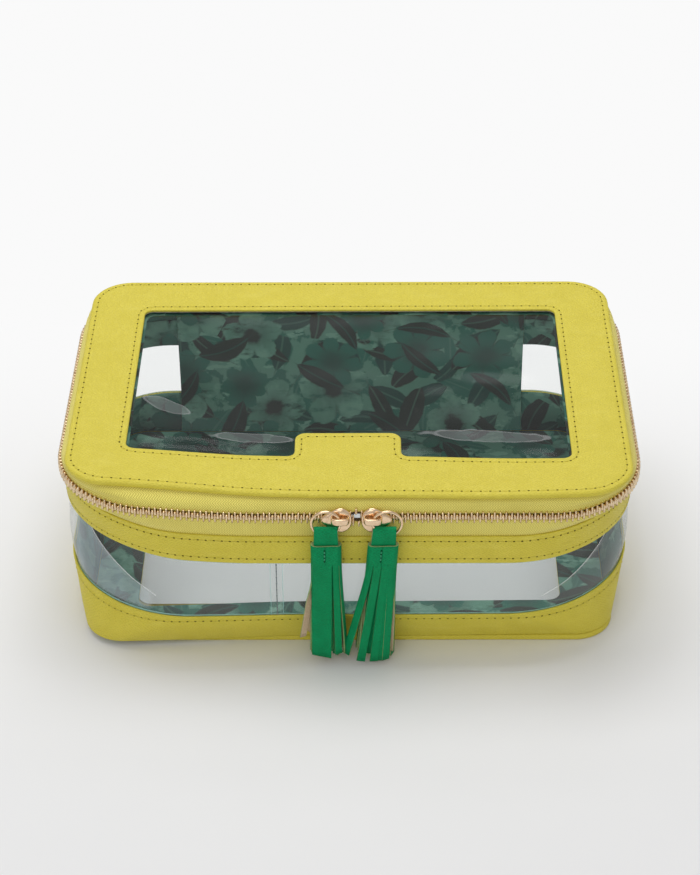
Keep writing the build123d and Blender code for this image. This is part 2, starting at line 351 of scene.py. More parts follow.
def strip_section(z0, z1, rows, swell):
    """Section of a leather strip: crowned face, rounded edges, pulled in along its stitching."""
    edge = 0.5
    outer = []
    for z in heights(z0, z1, edge):
        near = min(z - z0, z1 - z)
        inset = wall_inset(z)
        if near < edge:
            inset += edge - math.sqrt(max(0.0, edge**2 - (edge - near) ** 2))
        for row in rows:
            inset += 0.12 * math.exp(-(((z - row) / 0.9) ** 2))
        inset -= swell * math.sin(math.pi * (z - z0) / (z1 - z0))
        outer.append((inset, z))
    knees = [z for z in (upper_top_z, upper_z, lower_top_z) if z0 < z < z1]
    return outer + [(wall_inset(z) + leather_t, z) for z in (z1 - 0.1, *knees, z0 + 0.1)]


def rounded_path(corners, base):
    """Closed path through rounded corners, a list of (x, y, radius); base sets how it is divided."""
    pitch = 3.0
    turn_steps = 6

    def tangents(loop):
        found = []
        count = len(loop)
        for i, (x, y, r) in enumerate(loop):
            before = Vector(loop[i - 1][:2]) - Vector((x, y))
            after = Vector(loop[(i + 1) % count][:2]) - Vector((x, y))
            before.normalize()
            after.normalize()
            half = before.angle(after) / 2
            found.append((Vector((x, y)), before, after, r / math.tan(half), r, half))
        return found

    made = tangents(corners)
    measured = tangents(base)
    points = []
    count = len(corners)
    for i, (p, before, after, trim, r, half) in enumerate(made):
        middle = (before + after).normalized() * (r / math.sin(half))
        first = before * trim - middle
        last = after * trim - middle
        start_a = math.atan2(first.y, first.x)
        sweep = math.atan2(first.x * last.y - first.y * last.x, first.dot(last))
        for k in range(turn_steps + 1):
            a = start_a + sweep * k / turn_steps
            points.append(p + middle + Vector((math.cos(a), math.sin(a))) * r)
        q, q_before, _, q_trim, _, _ = made[(i + 1) % count]
        start = p + after * trim
        end = q + q_before * q_trim
        m, m_next = measured[i], measured[(i + 1) % count]
        length = ((m[0] + m[2] * m[3]) - (m_next[0] + m_next[1] * m_next[3])).length
        steps = max(1, round(length / pitch))
        for k in range(1, steps):
            points.append(start.lerp(end, k / steps))
    return [(point.x, point.y) for point in points]


def rectangle(size, grow, radius):
    """Corners of a rounded rectangle, let out by so much."""
    x, y, r = size[0] / 2 + grow, size[1] / 2 + grow, radius + grow
    return [(-x, -y, r), (x, -y, r), (x, y, r), (-x, y, r)]


def lid_hole(grow):
    """Corners of the lid's window, with the tab that stands into it."""
    a, b, c, d = rectangle(lid_window, grow, lid_window_r)
    side = tab_w / 2 - grow
    foot = -lid_window[1] / 2 - grow
    top = -lid_window[1] / 2 + tab_h - grow
    tip_r = max(1.5, tab_r - grow)
    tab = [
        (-side, foot, tab_foot_r + grow),
        (-side, top, tip_r),
        (side, top, tip_r),
        (side, foot, tab_foot_r + grow),
    ]
    return [a, *tab, b, c, d]


def inside(point, loop):
    """True if the point is inside a closed loop."""
    x, y = point
    found = False
    for (x0, y0), (x1, y1) in zip(loop, loop[1:] + loop[:1]):
        if (y0 > y) != (y1 > y) and x < x0 + (y - y0) * (x1 - x0) / (y1 - y0):
            found = not found
    return found


def distance(point, loop):
    """Shortest way from a point to a closed loop."""
    best = 1e9
    px, py = point
    for (x0, y0), (x1, y1) in zip(loop, loop[1:] + loop[:1]):
        dx, dy = x1 - x0, y1 - y0
        t = ((px - x0) * dx + (py - y0) * dy) / max(dx * dx + dy * dy, 1e-12)
        t = min(1.0, max(0.0, t))
        best = min(best, math.hypot(px - x0 - t * dx, py - y0 - t * dy))
    return best


def outline(inset, z):
    """Closed outline of the case at height z, set in from the zip's line."""
    return [at(run, inset, z)[:2] for run in all_round()]


def floor_loop(grow):
    """Closed loop round the floor's window, let out by so much."""
    return rounded_path(rectangle(floor_window, grow, window_r), rectangle(floor_window, 0, window_r))


def lid_loop(grow):
    """Closed loop round the lid's window and tab, let out by so much."""
    return rounded_path(lid_hole(grow), lid_hole(0))


def plate(skin, outer, hole, more, height, spacing):
    """Fills the face between an outer loop and a hole; more are loops of points on it."""
    points = outer + hole
    first = len(outer)
    count = len(points)
    edges = [(i, (i + 1) % first) for i in range(first)]
    edges += [(i, first + (i + 1 - first) % len(hole)) for i in range(first, count)]
    for loop in more:
        points += loop
    given = list(points)
    x = -width / 2
    while x < width / 2:
        y = -depth / 2
        while y < depth / 2:
            p = (x, y)
            if inside(p, outer) and not inside(p, hole):
                if min(math.hypot(x - a, y - b) for a, b in given) > spacing * 0.55:
                    points.append(p)
            y += spacing
        x += spacing
    filled = delaunay_2d_cdt([Vector(p) for p in points], edges, [], 0, 1e-5)
    made = [skin.point((v.x, v.y, height(v.x, v.y)), v.x, v.y) for v in filled[0]]
    for corners in filled[2]:
        middle = sum((filled[0][c] for c in corners), Vector((0, 0))) / len(corners)
        if inside(middle, outer) and not inside(middle, hole):
            skin.face([made[c] for c in corners])


def tube(skin, path, radius, sides, side_way=(0, 0, 1), closed=False):
    """A round strand along a path; its first side points along side_way."""
    rows = []
    count = len(path)
    length = 0.0
    for i, p in enumerate(path):
        before = Vector(path[i - 1]) if i or closed else Vector(p)
        after = Vector(path[(i + 1) % count]) if i < count - 1 or closed else Vector(p)
        along = (after - before).normalized()
        side = Vector(side_way)
        side = (side - along * side.dot(along)).normalized()
        other = along.cross(side)
        if i:
            length += (Vector(p) - Vector(path[i - 1])).length
        r = radius[i] if isinstance(radius, list) else radius
        rows.append([
            skin.point(
                Vector(p) + side * r * math.cos(a) + other * r * math.sin(a),
                length,
                a * r,
            )
            for a in (2 * math.pi * k / sides for k in range(sides))
        ])
    if closed:
        skin.grid(rows + rows[:1], round_it=True)
    else:
        skin.loft(rows)


# ---- finishes ------------------------------------------------------------------
class Val:
    """A number in a material; sums with it add their Math nodes."""

    def __init__(self, look, socket):
        self.look = look
        self.socket = socket

    def calc(self, operation, *terms):
        node = self.look.add("ShaderNodeMath", {"operation": operation}, dict(enumerate(terms)))
        return Val(self.look, node.outputs[0])

    def __add__(self, other):
        return self.calc("ADD", self, other)

    def __radd__(self, other):
        return self.calc("ADD", other, self)

    def __sub__(self, other):
        return self.calc("SUBTRACT", self, other)

    def __rsub__(self, other):
        return self.calc("SUBTRACT", other, self)

    def __mul__(self, other):
        return self.calc("MULTIPLY", self, other)

    def __truediv__(self, other):
        return self.calc("DIVIDE", self, other)

    def __abs__(self):
        return self.calc("ABSOLUTE", self)

    def __pow__(self, other):
        return self.calc("POWER", self, other)

    def sin(self):
        return self.calc("SINE", self)

    def cos(self):
        return self.calc("COSINE", self)

    def wave(self, pitch):
        """Sine that comes round once in every pitch."""
        return (self * (2 * math.pi / pitch)).sin()

    def root(self):
        return self.calc("SQRT", self)

    def part(self):
        """What is left over after whole numbers."""
        return self.calc("FRACT", self)

    def least(self, other):
        return self.calc("MINIMUM", self, other)

    def most(self, other):
        return self.calc("MAXIMUM", self, other)

    def ramp(self, low, high):
        """0 below low, 1 above high, smooth between; low may be the larger."""
        node = self.look.add(
            "ShaderNodeMapRange",
            {"interpolation_type": "SMOOTHSTEP", "clamp": True},
            {"Value": self, "From Min": low, "From Max": high},
        )
        return Val(self.look, node.outputs["Result"])


class Look:
    """A material, and the one way to add a node to it."""

    def __init__(self, name, holder=None, end="ShaderNodeOutputMaterial"):
        self.material = holder or bpy.data.materials.new(name)
        self.material.use_nodes = True
        self.tree = self.material.node_tree
        self.tree.nodes.clear()
        self.out = self.add(end)

    def add(self, kind, settings=None, sockets=None):
        """A node; its settings first, then a value or a link for each socket named."""
        node = self.tree.nodes.new(kind)
        for name, value in (settings or {}).items():
            setattr(node, name, value)
        for name, value in (sockets or {}).items():
            socket = node.inputs[name]
            if isinstance(value, Val):
                value = value.socket
            if isinstance(value, bpy.types.NodeSocket):
                self.tree.links.new(value, socket)
            else:
                socket.default_value = value
        return node

    def flat_place(self):
        """Place on the flat cloth, in millimetres, as a vector and as two numbers."""
        node = self.add("ShaderNodeAttribute", {"attribute_name": "run"})
        split = self.add("ShaderNodeSeparateXYZ", {}, {0: node.outputs["Vector"]})
        return node.outputs["Vector"], Val(self, split.outputs[0]), Val(self, split.outputs[1])

    def solid_place(self):
        """Place in the piece itself, in millimetres."""
        node = self.add("ShaderNodeTexCoord")
        return self.scaled(node.outputs["Object"], 1.0 / MM)

    def scaled(self, vector, scale, shift=(0.0, 0.0, 0.0)):
        if isinstance(scale, (int, float)):
            scale = (scale, scale, scale)
        node = self.add(
            "ShaderNodeVectorMath",
            {"operation": "MULTIPLY_ADD"},
            {0: vector, 1: scale, 2: shift},
        )
        return node.outputs[0]

    def noise(self, vector, size, detail, rough=0.5, dims="3D"):
        """Soft noise with features about size millimetres across, from 0 to 1."""
        node = self.add(
            "ShaderNodeTexNoise",
            {"noise_dimensions": dims},
            {"Vector": vector, "Scale": 1.0 / size, "Detail": detail, "Roughness": rough},
        )
        return Val(self, node.outputs[0])

    def cells(self, vector, size, random_share):
        """Cells about size millimetres across, each with its own middle and colour."""
        return self.add(
            "ShaderNodeTexVoronoi",
            {"voronoi_dimensions": "2D", "feature": "F1"},
            {"Vector": vector, "Scale": 1.0 / size, "Randomness": random_share},
        )

    def mix(self, share, a, b):
        """Colour a, going over to colour b with share."""
        return self.add("ShaderNodeMix", {"data_type": "RGBA"}, {0: share, 6: a, 7: b}).outputs[2]

    def bump(self, height, depth_mm, strength):
        sockets = {"Height": height, "Distance": depth_mm * MM, "Strength": strength}
        return self.add("ShaderNodeBump", {}, sockets).outputs[0]

    def end_mixed(self, share, a, b):
        """Ends the material in shader a, going over to shader b with share."""
        both = self.add("ShaderNodeMixShader", {}, {0: share, 1: a.outputs[0], 2: b.outputs[0]})
        self.tree.links.new(both.outputs[0], self.out.inputs["Surface"])

    def finish(self, **sockets):
        """Ends the material in one Principled shader."""
        named = {name.replace("_", " "): value for name, value in sockets.items()}
        shader = self.add("ShaderNodeBsdfPrincipled", {}, named)
        self.tree.links.new(shader.outputs[0], self.out.inputs["Surface"])
        return self.material


def rgb(r, g, b):
    """Linear colour of an sRGB value from 0 to 255."""
    def linear(c):
        c /= 255
        return c / 12.92 if c <= 0.04045 else ((c + 0.055) / 1.055) ** 2.4

    return (linear(r), linear(g), linear(b), 1.0)


def cross_grain(look, u, v, pitch):
    """Fine crossed ridges, as pressed into bag leather."""
    slope = 0.62
    wobble = look.noise(look.flat_place()[0], 2.2, 2.0, dims="2D") * 1.9
    first = (u * slope + v + wobble).wave(pitch)
    second = (u * slope - v + wobble).wave(pitch)
    return first.most(second) * 0.5 + 0.5


def leather(name, light, dark, worn, grain_mm, roughness, gleam):
    look = Look(name)
    flat, u, v = look.flat_place()
    grain = cross_grain(look, u, v, grain_mm)
    pores = look.noise(flat, 0.8, 3.0, 0.6, dims="2D")
    cloud = look.noise(flat, 12.0, 4.0, 0.6, dims="2D")
    streak = look.noise(look.scaled(flat, (0.35, 1.0, 1.0)), 6.0, 3.0, dims="2D")
    base = look.mix(cloud.ramp(0.3, 0.75) * 0.3, light, dark)
    base = look.mix((1 - grain).ramp(0.25, 0.9) * 0.6, base, dark)
    base = look.mix(pores.ramp(0.45, 0.8) * 0.5, base, dark)
    base = look.mix(streak.ramp(0.55, 0.8) * 0.25, base, worn)
    height = grain * 0.8 + pores * 0.4
    shine = cloud * 0.12 + pores * 0.1 + roughness
    return look.finish(
        Base_Color=base,
        Roughness=shine,
        Normal=look.bump(height, 0.26, 0.9),
        Specular_IOR_Level=gleam,
    )


def suede(name, light, dark):
    """Raw reverse and cut edges of leather."""
    look = Look(name)
    flat = look.flat_place()[0]
    fibre = look.noise(look.scaled(flat, (1.0, 0.3, 1.0)), 0.4, 4.0, 0.7, dims="2D")
    cloud = look.noise(flat, 7.0, 2.0, dims="2D")
    base = look.mix(fibre.ramp(0.3, 0.7) * 0.6 + cloud * 0.3, light, dark)
    return look.finish(
        Base_Color=base,
        Roughness=0.93,
        Normal=look.bump(fibre, 0.12, 0.8),
    )


def thread(name, light, dark):
    """Two-ply sewing thread, with its twist."""
    look = Look(name)
    _, u, v = look.flat_place()
    twist = (u + v * 0.8).wave(0.55) * 0.5 + 0.5
    base = look.mix(twist.ramp(0.2, 0.9), dark, light)
    return look.finish(
        Base_Color=base,
        Roughness=0.62,
        Normal=look.bump(twist, 0.06, 0.8),
    )


def needle_hole(name, light, dark):
    look = Look(name)
    place = look.solid_place()
    patch = look.noise(place, 0.5, 2.0)
    return look.finish(
        Base_Color=look.mix(patch.ramp(0.35, 0.65), dark, light),
        Roughness=0.95,
        Normal=look.bump(patch, 0.1, 0.6),
        Specular_IOR_Level=0.05,
    )


def zip_tape(name, light, dark):
    """Woven tape with a fine chevron rib."""
    look = Look(name)
    flat, u, v = look.flat_place()
    fold = abs((v / 3.0).part() - 0.5) * 3.0
    rib = (u + fold * 1.15).wave(1.15) * 0.5 + 0.5
    weft = v.wave(0.42) * 0.5 + 0.5
    fuzz = look.noise(flat, 0.3, 3.0, dims="2D")
    cloud = look.noise(flat, 22.0, 2.0, dims="2D")
    height = rib * 0.75 + weft * 0.2 + fuzz * 0.25
    base = look.mix(height.ramp(0.25, 0.85), dark, light)
    base = look.mix(cloud.ramp(0.4, 0.75) * 0.25, base, dark)
    return look.finish(
        Base_Color=base,
        Roughness=0.8,
        Sheen_Weight=0.15,
        Normal=look.bump(height, 0.16, 0.8),
    )


def turned(dx, dy, turn):
    """A place turned by a varying angle."""
    c, s = turn.cos(), turn.sin()
    return dx * c + dy * s, dy * c - dx * s


full_turn = 6.283  # radians


def motif_place(look, flat, cell, shift, spread):
    """Place from the middle of each motif's own cell, turned its own way, with a random number."""
    moved = look.scaled(flat, 1.0, shift)
    cells = look.cells(moved, cell, spread)
    away = look.add(
        "ShaderNodeVectorMath",
        {"operation": "SUBTRACT"},
        {0: moved, 1: cells.outputs["Position"]},
    )
    split = look.add("ShaderNodeSeparateXYZ", {}, {0: away.outputs[0]})
    tint = look.add("ShaderNodeSeparateColor", {}, {0: cells.outputs["Color"]})
    own = Val(look, tint.outputs[0])
    x, y = turned(Val(look, split.outputs[0]), Val(look, split.outputs[1]), own * full_turn)
    return x, y, own, Val(look, tint.outputs[1])


def leaf_shape(look, flat, cell, shift, length, half, ragged):
    """Pointed leaves with a mid rib, one to a cell: (cover, rib)."""
    x, y, own, other = motif_place(look, flat, cell, shift, 0.75)
    bend = x * x * (0.5 - other) * (0.9 / length)
    y = y + bend
    t = (x / length + 0.5).most(0.0).least(1.0)
    reach = (t * (1 - t) * 4).most(0.0) ** 0.8 * half * (own * 0.5 + 0.7)
    side = abs(y) + ragged
    cover = (side - reach).ramp(0.5, -0.5)
    rib = abs(y).ramp(0.75, 0.15) * cover
    return cover, rib


def flower_shape(look, flat, cell, shift, radius, petals, ragged):
    """Open flowers, one to a cell: (cover, shade towards the heart, heart)."""
    x, y, _, other = motif_place(look, flat, cell, shift, 0.6)
    r = (x * x + y * y).root() + ragged
    angle = y.calc("ARCTAN2", y, x)
    lobe = abs((angle * (petals / 2)).cos()) ** 0.55
    reach = (lobe * 0.42 + 0.58) * radius * (other * 0.35 + 0.75)
    cover = (r - reach).ramp(0.6, -0.6)
    fold = (abs((angle * (petals / 2)).cos())).ramp(0.45, 0.0) * r.ramp(0.0, radius * 0.9)
    heart = r.ramp(radius * 0.3, radius * 0.16)
    return cover, fold.most(r.ramp(radius * 0.75, radius * 0.1) * 0.7), heart


def leafy_print(name):
    """Printed lining: a plain pattern of leaves and open flowers, tone on tone."""
    ground = rgb(96, 146, 126)
    pale = rgb(120, 168, 148)
    middle = rgb(40, 108, 92)
    deep = rgb(24, 72, 62)
    dark = rgb(38, 48, 40)
    look = Look(name)
    flat, u, v = look.flat_place()
    wobble = look.noise(flat, 5.0, 4.0, 0.6, dims="2D")
    ragged = (wobble - 0.5) * 3.0
    wash = look.noise(flat, 17.0, 4.0, 0.6, dims="2D")
    brush = look.noise(look.scaled(flat, (0.35, 1.0, 1.0)), 6.0, 4.0, 0.65, dims="2D")
    base = look.mix(wash.ramp(0.5, 0.56), ground, middle)
    base = look.mix(brush.ramp(0.6, 0.64), base, pale)
    for cell, shift, length, half, tone in (
        (21.0, (7.0, 3.0, 0.0), 19.0, 3.0, middle),
        (26.0, (61.0, 17.0, 0.0), 25.0, 4.4, deep),
        (30.0, (-33.0, 88.0, 0.0), 27.0, 5.2, dark),
    ):
        cover, rib = leaf_shape(look, flat, cell, shift, length, half, ragged * 0.5)
        base = look.mix(cover, base, tone)
        base = look.mix(rib * 0.35, base, ground)
    frayed = ragged + (brush - 0.5) * 5.0
    cover, fold, heart = flower_shape(look, flat, 46.0, (15.0, 40.0, 0.0), 19.0, 5.0, frayed)
    base = look.mix(cover * brush.ramp(0.3, 0.5), base, look.mix(wash.ramp(0.42, 0.6), pale, ground))
    base = look.mix(cover * fold * 0.9, base, deep)
    base = look.mix(cover * heart, base, dark)
    cover, fold, heart = flower_shape(look, flat, 41.0, (90.0, -25.0, 0.0), 16.0, 7.0, frayed)
    base = look.mix(cover, base, middle)
    base = look.mix(cover * fold * 0.8, base, dark)
    cover, rib = leaf_shape(look, flat, 38.0, (120.0, 55.0, 0.0), 28.0, 5.0, ragged * 0.4)
    base = look.mix(cover, base, dark)
    base = look.mix(rib * 0.4, base, middle)
    weave = u.wave(0.6) * v.wave(0.6)
    return look.finish(
        Base_Color=base,
        Roughness=0.62 + wash * 0.12,
        Normal=look.bump(weave, 0.05, 0.5),
    )


def fold_reflection_patch(look, u, v):
    """Painted reflection of the lamps below each corner fold of the side sheet, stronger on the left: a
    pale blue patch of gloss cover.
    """
    share = fold_share(u)
    ridge = share * (fold_zs[1] - fold_zs[0]) + fold_zs[0]
    below = (ridge - v).ramp(0.0, 0.8) * (v - lower_top_z).ramp(0.6, 2.4)
    ends = share.ramp(0.06, 0.12) * share.ramp(1.3, 1.1)
    streaks = look.noise(look.scaled(look.flat_place()[0], (1.0, 0.25, 1.0)), 9.0, 3.0, dims="2D")
    deep = (u.ramp(10.0, -10.0) * 0.22 + 0.05) * (streaks * 0.9 + 0.55)
    return below * ends * deep


def reflection_oval_cover(look, flat, u, v, reflection_ovals):
    """Painted reflections on the lid's sheet: long low oval patches of stronger gloss standing in for
    the lamps' reflection, each with a brighter rim.
    """
    sway = look.noise(flat, 9.0, 1.0, dims="2D") - 0.5
    total = 0.0
    for x, y, half_long, half_wide, slope in reflection_ovals:
        along = (u - x) / half_long
        across = (v - y - (u - x) * slope) / half_wide
        far = along * along + across * across + sway * 1.1
        rim = far.ramp(0.7, 0.86) * far.ramp(1.1, 0.94)
        total = total + far.ramp(1.02, 0.8) * 0.15 + rim * 0.22
    return total


clear_tone = (0.985, 0.994, 0.991, 1.0)


def clear_sheet(name, tint, haze, shine, with_fold_reflection=False, through=clear_tone, reflection_ovals=()):
    """Clear sheet: what is behind shows through, with a thin haze and a wet shine."""
    look = Look(name)
    flat, u, v = look.flat_place()
    ripple = look.noise(flat, 40.0, 1.0, dims="2D")
    scuff = look.noise(look.scaled(flat, (1.0, 0.25, 1.0)), 3.0, 4.0, 0.6, dims="2D")
    facing = look.add("ShaderNodeLayerWeight", {}, {"Blend": 0.5}).outputs["Facing"]
    edge_on = Val(look, facing) ** 4.0
    marks = scuff.ramp(0.66, 0.8) * 0.03
    cover = edge_on * 0.75 + haze + marks
    if with_fold_reflection:
        # painted reflection: pale blue gloss cover mixed in below each corner fold
        reflection_patch = fold_reflection_patch(look, u, v)
        tint = look.mix(reflection_patch * 2.4, tint, (0.52, 0.66, 0.72, 1.0))
        cover = cover + reflection_patch
    # painted reflection ovals: more gloss cover in the given patches
    if reflection_ovals:
        cover = cover + reflection_oval_cover(look, flat, u, v, reflection_ovals)
    cover = cover.least(0.9)
    normal = look.bump(ripple, 0.5, 0.25)
    wet = {"Base Color": tint, "Metallic": shine, "Roughness": 0.11, "Normal": normal}
    gloss = look.add("ShaderNodeBsdfPrincipled", {}, wet)
    open_part = look.add("ShaderNodeBsdfTransparent", {}, {"Color": through})
    look.end_mixed(cover, open_part, gloss)
    return look.material


def metal(name, light, dark, roughness, dent_mm):
    look = Look(name)
    place = look.solid_place()
    dents = look.noise(place, 1.6, 2.0)
    rub = look.noise(look.scaled(place, (0.3, 1.0, 1.0)), 0.5, 3.0)
    base = look.mix(dents.ramp(0.35, 0.75), light, dark)
    return look.finish(
        Base_Color=base,
        Metallic=1.0,
        Roughness=rub * 0.12 + roughness,
        Normal=look.bump(dents, dent_mm, 0.7),
    )


def pulp_board(name):
    look = Look(name)
    place = look.solid_place()
    fibre = look.noise(look.scaled(place, (0.4, 1.0, 1.0)), 0.8, 4.0, 0.65)
    cloud = look.noise(place, 9.0, 2.0)
    base = look.mix(fibre.ramp(0.35, 0.7), rgb(196, 188, 168), rgb(150, 142, 122))
    base = look.mix(cloud * 0.3, base, rgb(120, 112, 96))
    return look.finish(Base_Color=base, Roughness=0.9, Normal=look.bump(fibre, 0.1, 0.6))


yellow = leather(
    "yellow_leather", rgb(223, 208, 72), rgb(206, 190, 52), rgb(231, 218, 98), 1.35, 0.4, 0.45
)
green = leather(
    "green_leather", rgb(0, 150, 92), rgb(0, 112, 62), rgb(2, 166, 104), 1.2, 0.5, 0.16
)
cut_edge = suede("cut_leather", rgb(168, 186, 128), rgb(120, 150, 92))
beige = suede("leather_reverse", rgb(206, 184, 152), rgb(176, 150, 120))
yellow_thread = thread("yellow_thread", rgb(228, 214, 92), rgb(204, 190, 62))
clear_thread = thread("clear_thread", rgb(150, 160, 160), rgb(96, 104, 106))
green_thread = thread("green_thread", rgb(90, 186, 146), rgb(20, 130, 88))
holes = needle_hole("needle_holes", rgb(104, 92, 18), rgb(64, 54, 8))
green_holes = needle_hole("green_needle_holes", rgb(2, 84, 50), rgb(0, 52, 30))
tape = zip_tape("yellow_tape", rgb(243, 230, 122), rgb(204, 189, 76))
tape_shade = zip_tape("shaded_tape_edge", rgb(104, 78, 36), rgb(46, 30, 12))
print_lining = leafy_print("leafy_lining")
# the lid sheet carries the painted reflection ovals
clear = clear_sheet("clear_sheet", (0.88, 0.9, 0.91, 1.0), 0.022, 0.9, reflection_ovals=lid_reflection_ovals)
# the side sheet carries the painted reflection below its corner folds
clear_side = clear_sheet("clear_side_sheet", (0.79, 0.81, 0.815, 1.0), 0.075, 0.35, True)
clear_floor = clear_sheet(
    "clear_floor_sheet", (0.88, 0.9, 0.91, 1.0), 0.04, 0.5, through=(0.89, 0.905, 0.90, 1.0)
)
# painted highlight along the clear sheet's corner folds
fold_highlight = clear_sheet("painted_fold_highlight", (0.93, 0.94, 0.94, 1.0), 0.5, 0.1)
sheet_edge = clear_sheet("clear_sheet_edge", (0.42, 0.72, 0.68, 1.0), 0.6, 0.0)
gold = metal("rose_gold", (0.90, 0.68, 0.46, 1.0), (0.80, 0.56, 0.36, 1.0), 0.14, 0.1)
tooth_gold = metal("tooth_gold", (0.86, 0.68, 0.44, 1.0), (0.60, 0.43, 0.26, 1.0), 0.2, 0.06)
board = pulp_board("pulp_board")


# ---- stitching -----------------------------------------------------------------
def stitch_row(name, path, pitch, body, thread_look, hole_look, rise=0.16, closed=False):
    """Stitches along a settled path of (place, way out); each dips into its needle holes."""
    marks = spaced(path, pitch, closed)
    steps = (
        (0, -0.32, 0.2),
        (0.14, -0.05, 0.25),
        (0.5, rise, 0.27),
        (0.86, -0.05, 0.25),
        (1, -0.32, 0.2),
    )
    skin = Skin()
    for (a, out_a), (b, out_b) in zip(marks, marks[1:]):
        start, end = a.lerp(b, 0.14), a.lerp(b, 0.86)
        out = (out_a + out_b).normalized()
        places = []
        radii = []
        for t, lift, r in steps:
            places.append(start.lerp(end, t) + out * lift)
            radii.append(r)
        tube(skin, places, radii, 6, out)
    for i, (place, out) in enumerate(marks):
        along = marks[min(i + 1, len(marks) - 1)][0] - marks[max(i - 1, 0)][0]
        hole_disc(skin, place + out * 0.07, out, along.normalized())
    piece = skin.make(name, [thread_look, hole_look], sag=False)
    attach(piece, body)
    return piece


def hole_disc(skin, place, out, along):
    """The dark mouth of a needle hole, a little drawn out along its row."""
    other = out.cross(along).normalized()
    half_long, half_wide = 0.54, 0.42
    rim = []
    for k in range(10):
        a = math.pi * k / 5
        p = place + along * half_long * math.cos(a) + other * half_wide * math.sin(a)
        rim.append(skin.point(p, p.x, p.y))
    skin.face(rim, 1)


def spaced(path, pitch, closed):
    """Marks at an even pitch along a path of (place, way out)."""
    path = [(Vector(p), Vector(n)) for p, n in path]
    if closed:
        path.append(path[0])
    lengths = [0.0]
    for (a, _), (b, _) in zip(path, path[1:]):
        lengths.append(lengths[-1] + (b - a).length)
    count = max(1, round(lengths[-1] / pitch))
    marks = []
    k = 0
    for i in range(count + 1):
        want = lengths[-1] * i / count
        while k < len(path) - 2 and lengths[k + 1] < want:
            k += 1
        t = (want - lengths[k]) / max(lengths[k + 1] - lengths[k], 1e-9)
        place = path[k][0].lerp(path[k + 1][0], t)
        out = path[k][1].lerp(path[k + 1][1], t).normalized()
        marks.append((place, out))
    return marks


def wall_stitches(name, path):
    """A row of the wall's yellow stitches."""
    stitch_row(name, path, wall_pitch, "base", yellow_thread, holes)


def wall_path(inset, z, start, end, lean=0.0):
    """Path round the wall with its way out."""
    path = []
    for run in runs(start, end, 2.0):
        _, _, out_x, out_y = on_line(run, z)
        path.append((settle(at(run, inset, z)), (out_x, out_y, lean)))
    return path


# ---- base: leather, clear sheet and linings --------------------------------------
def leather_bands():
    """The wall's two leather bands with their rows of stitches."""
    stitch_ends = (-wall_end + 2, wall_end - 2)
    lower_row = lower_top_z - 3.0
    section = strip_section(foot_z, lower_top_z, [lower_row], 0.25)
    lower = band("lower_leather_band", [yellow], section)
    dress(lower, "base", "yellow_leather", "lower_band")
    rows = (upper_z + 2.7, upper_top_z - 2.7)
    section = strip_section(upper_z, upper_top_z, rows, 0.2)
    upper = band("upper_leather_band", [yellow], section)
    dress(upper, "base", "yellow_leather", "upper_band")
    path = wall_path(wall_inset(lower_row), lower_row, *stitch_ends, -0.2)
    wall_stitches("lower_band_stitches", path)
    for name, row in zip(("upper_band_stitches_low", "upper_band_stitches_high"), rows):
        path = wall_path(upper_inset + 0.05, row, *stitch_ends)
        wall_stitches(name, path)


def sheet_swell(run, z):
    """How far the clear side sheet stands out between the bands, with its corner creases."""
    t = (z - lower_top_z) / (upper_z - lower_top_z)
    if not 0 < t < 1:
        return 0.0
    arch = math.sin(math.pi * t) ** 0.7
    soft = noise.noise(Vector((run / 34.0, z / 40.0, 4.0)))
    out = (0.55 + 0.5 * soft) * arch
    across = fold_share(run)
    if 0.0 < across < 1.1:
        near = (z - fold_ridge(across)) / 1.8
        out += 1.4 * math.exp(-near * near) * arch * smoothstep(0.0, 0.3, across)
    return out


def sheet_at(run, z, more):
    """Place on the clear side sheet, set in by a little more than the sheet's own depth."""
    return at(run, wall_inset(z) + sheet_depth + more - sheet_swell(run, z), z)


def clear_wall():
    """The clear sheet round the wall, and the pale lines of its two cut edges."""
    levels = [foot_z, 10.0, lower_top_z - 1.0]
    levels += [lower_top_z + (upper_z - lower_top_z) * k / 26 for k in range(27)]
    levels += [upper_z + 1.0, sheet_top_z]
    piece = sheet(
        "clear_side_sheet",
        [clear_side],
        lambda run, z: sheet_at(run, z, 0.2),
        runs(-wall_end, wall_end, 1.6),
        levels,
    )
    dress(piece, "base", "clear_sheet", "side_window")
    for name, z0 in (
        ("clear_sheet_low_line", lower_top_z + 0.05),
        ("clear_sheet_high_line", upper_z - 0.75),
    ):
        line = sheet(
            name,
            [sheet_edge],
            lambda run, z: sheet_at(run, z, 0.1),
            runs(-wall_end, wall_end, 2.0),
            [z0, z0 + 0.35, z0 + 0.7],
        )
        dress(line, "base", "clear_sheet")


def fold_highlight_strips():
    """Thin pale strips along the clear sheet's folds at its front corners: painted highlight where the
    folds catch the light.
    """
    for name, way in (("fold_highlight_left", -1), ("fold_highlight_right", 1)):
        def place(share, off):
            run = way * (fold_runs[0] + (fold_runs[1] - fold_runs[0]) * share)
            return sheet_at(run, fold_ridge(share) + off, 0.12)

        piece = sheet(name, [fold_highlight], place, runs(0.02, 0.92, 0.02), [-0.26, 0.0, 0.26])
        dress(piece, "base", "clear_sheet")


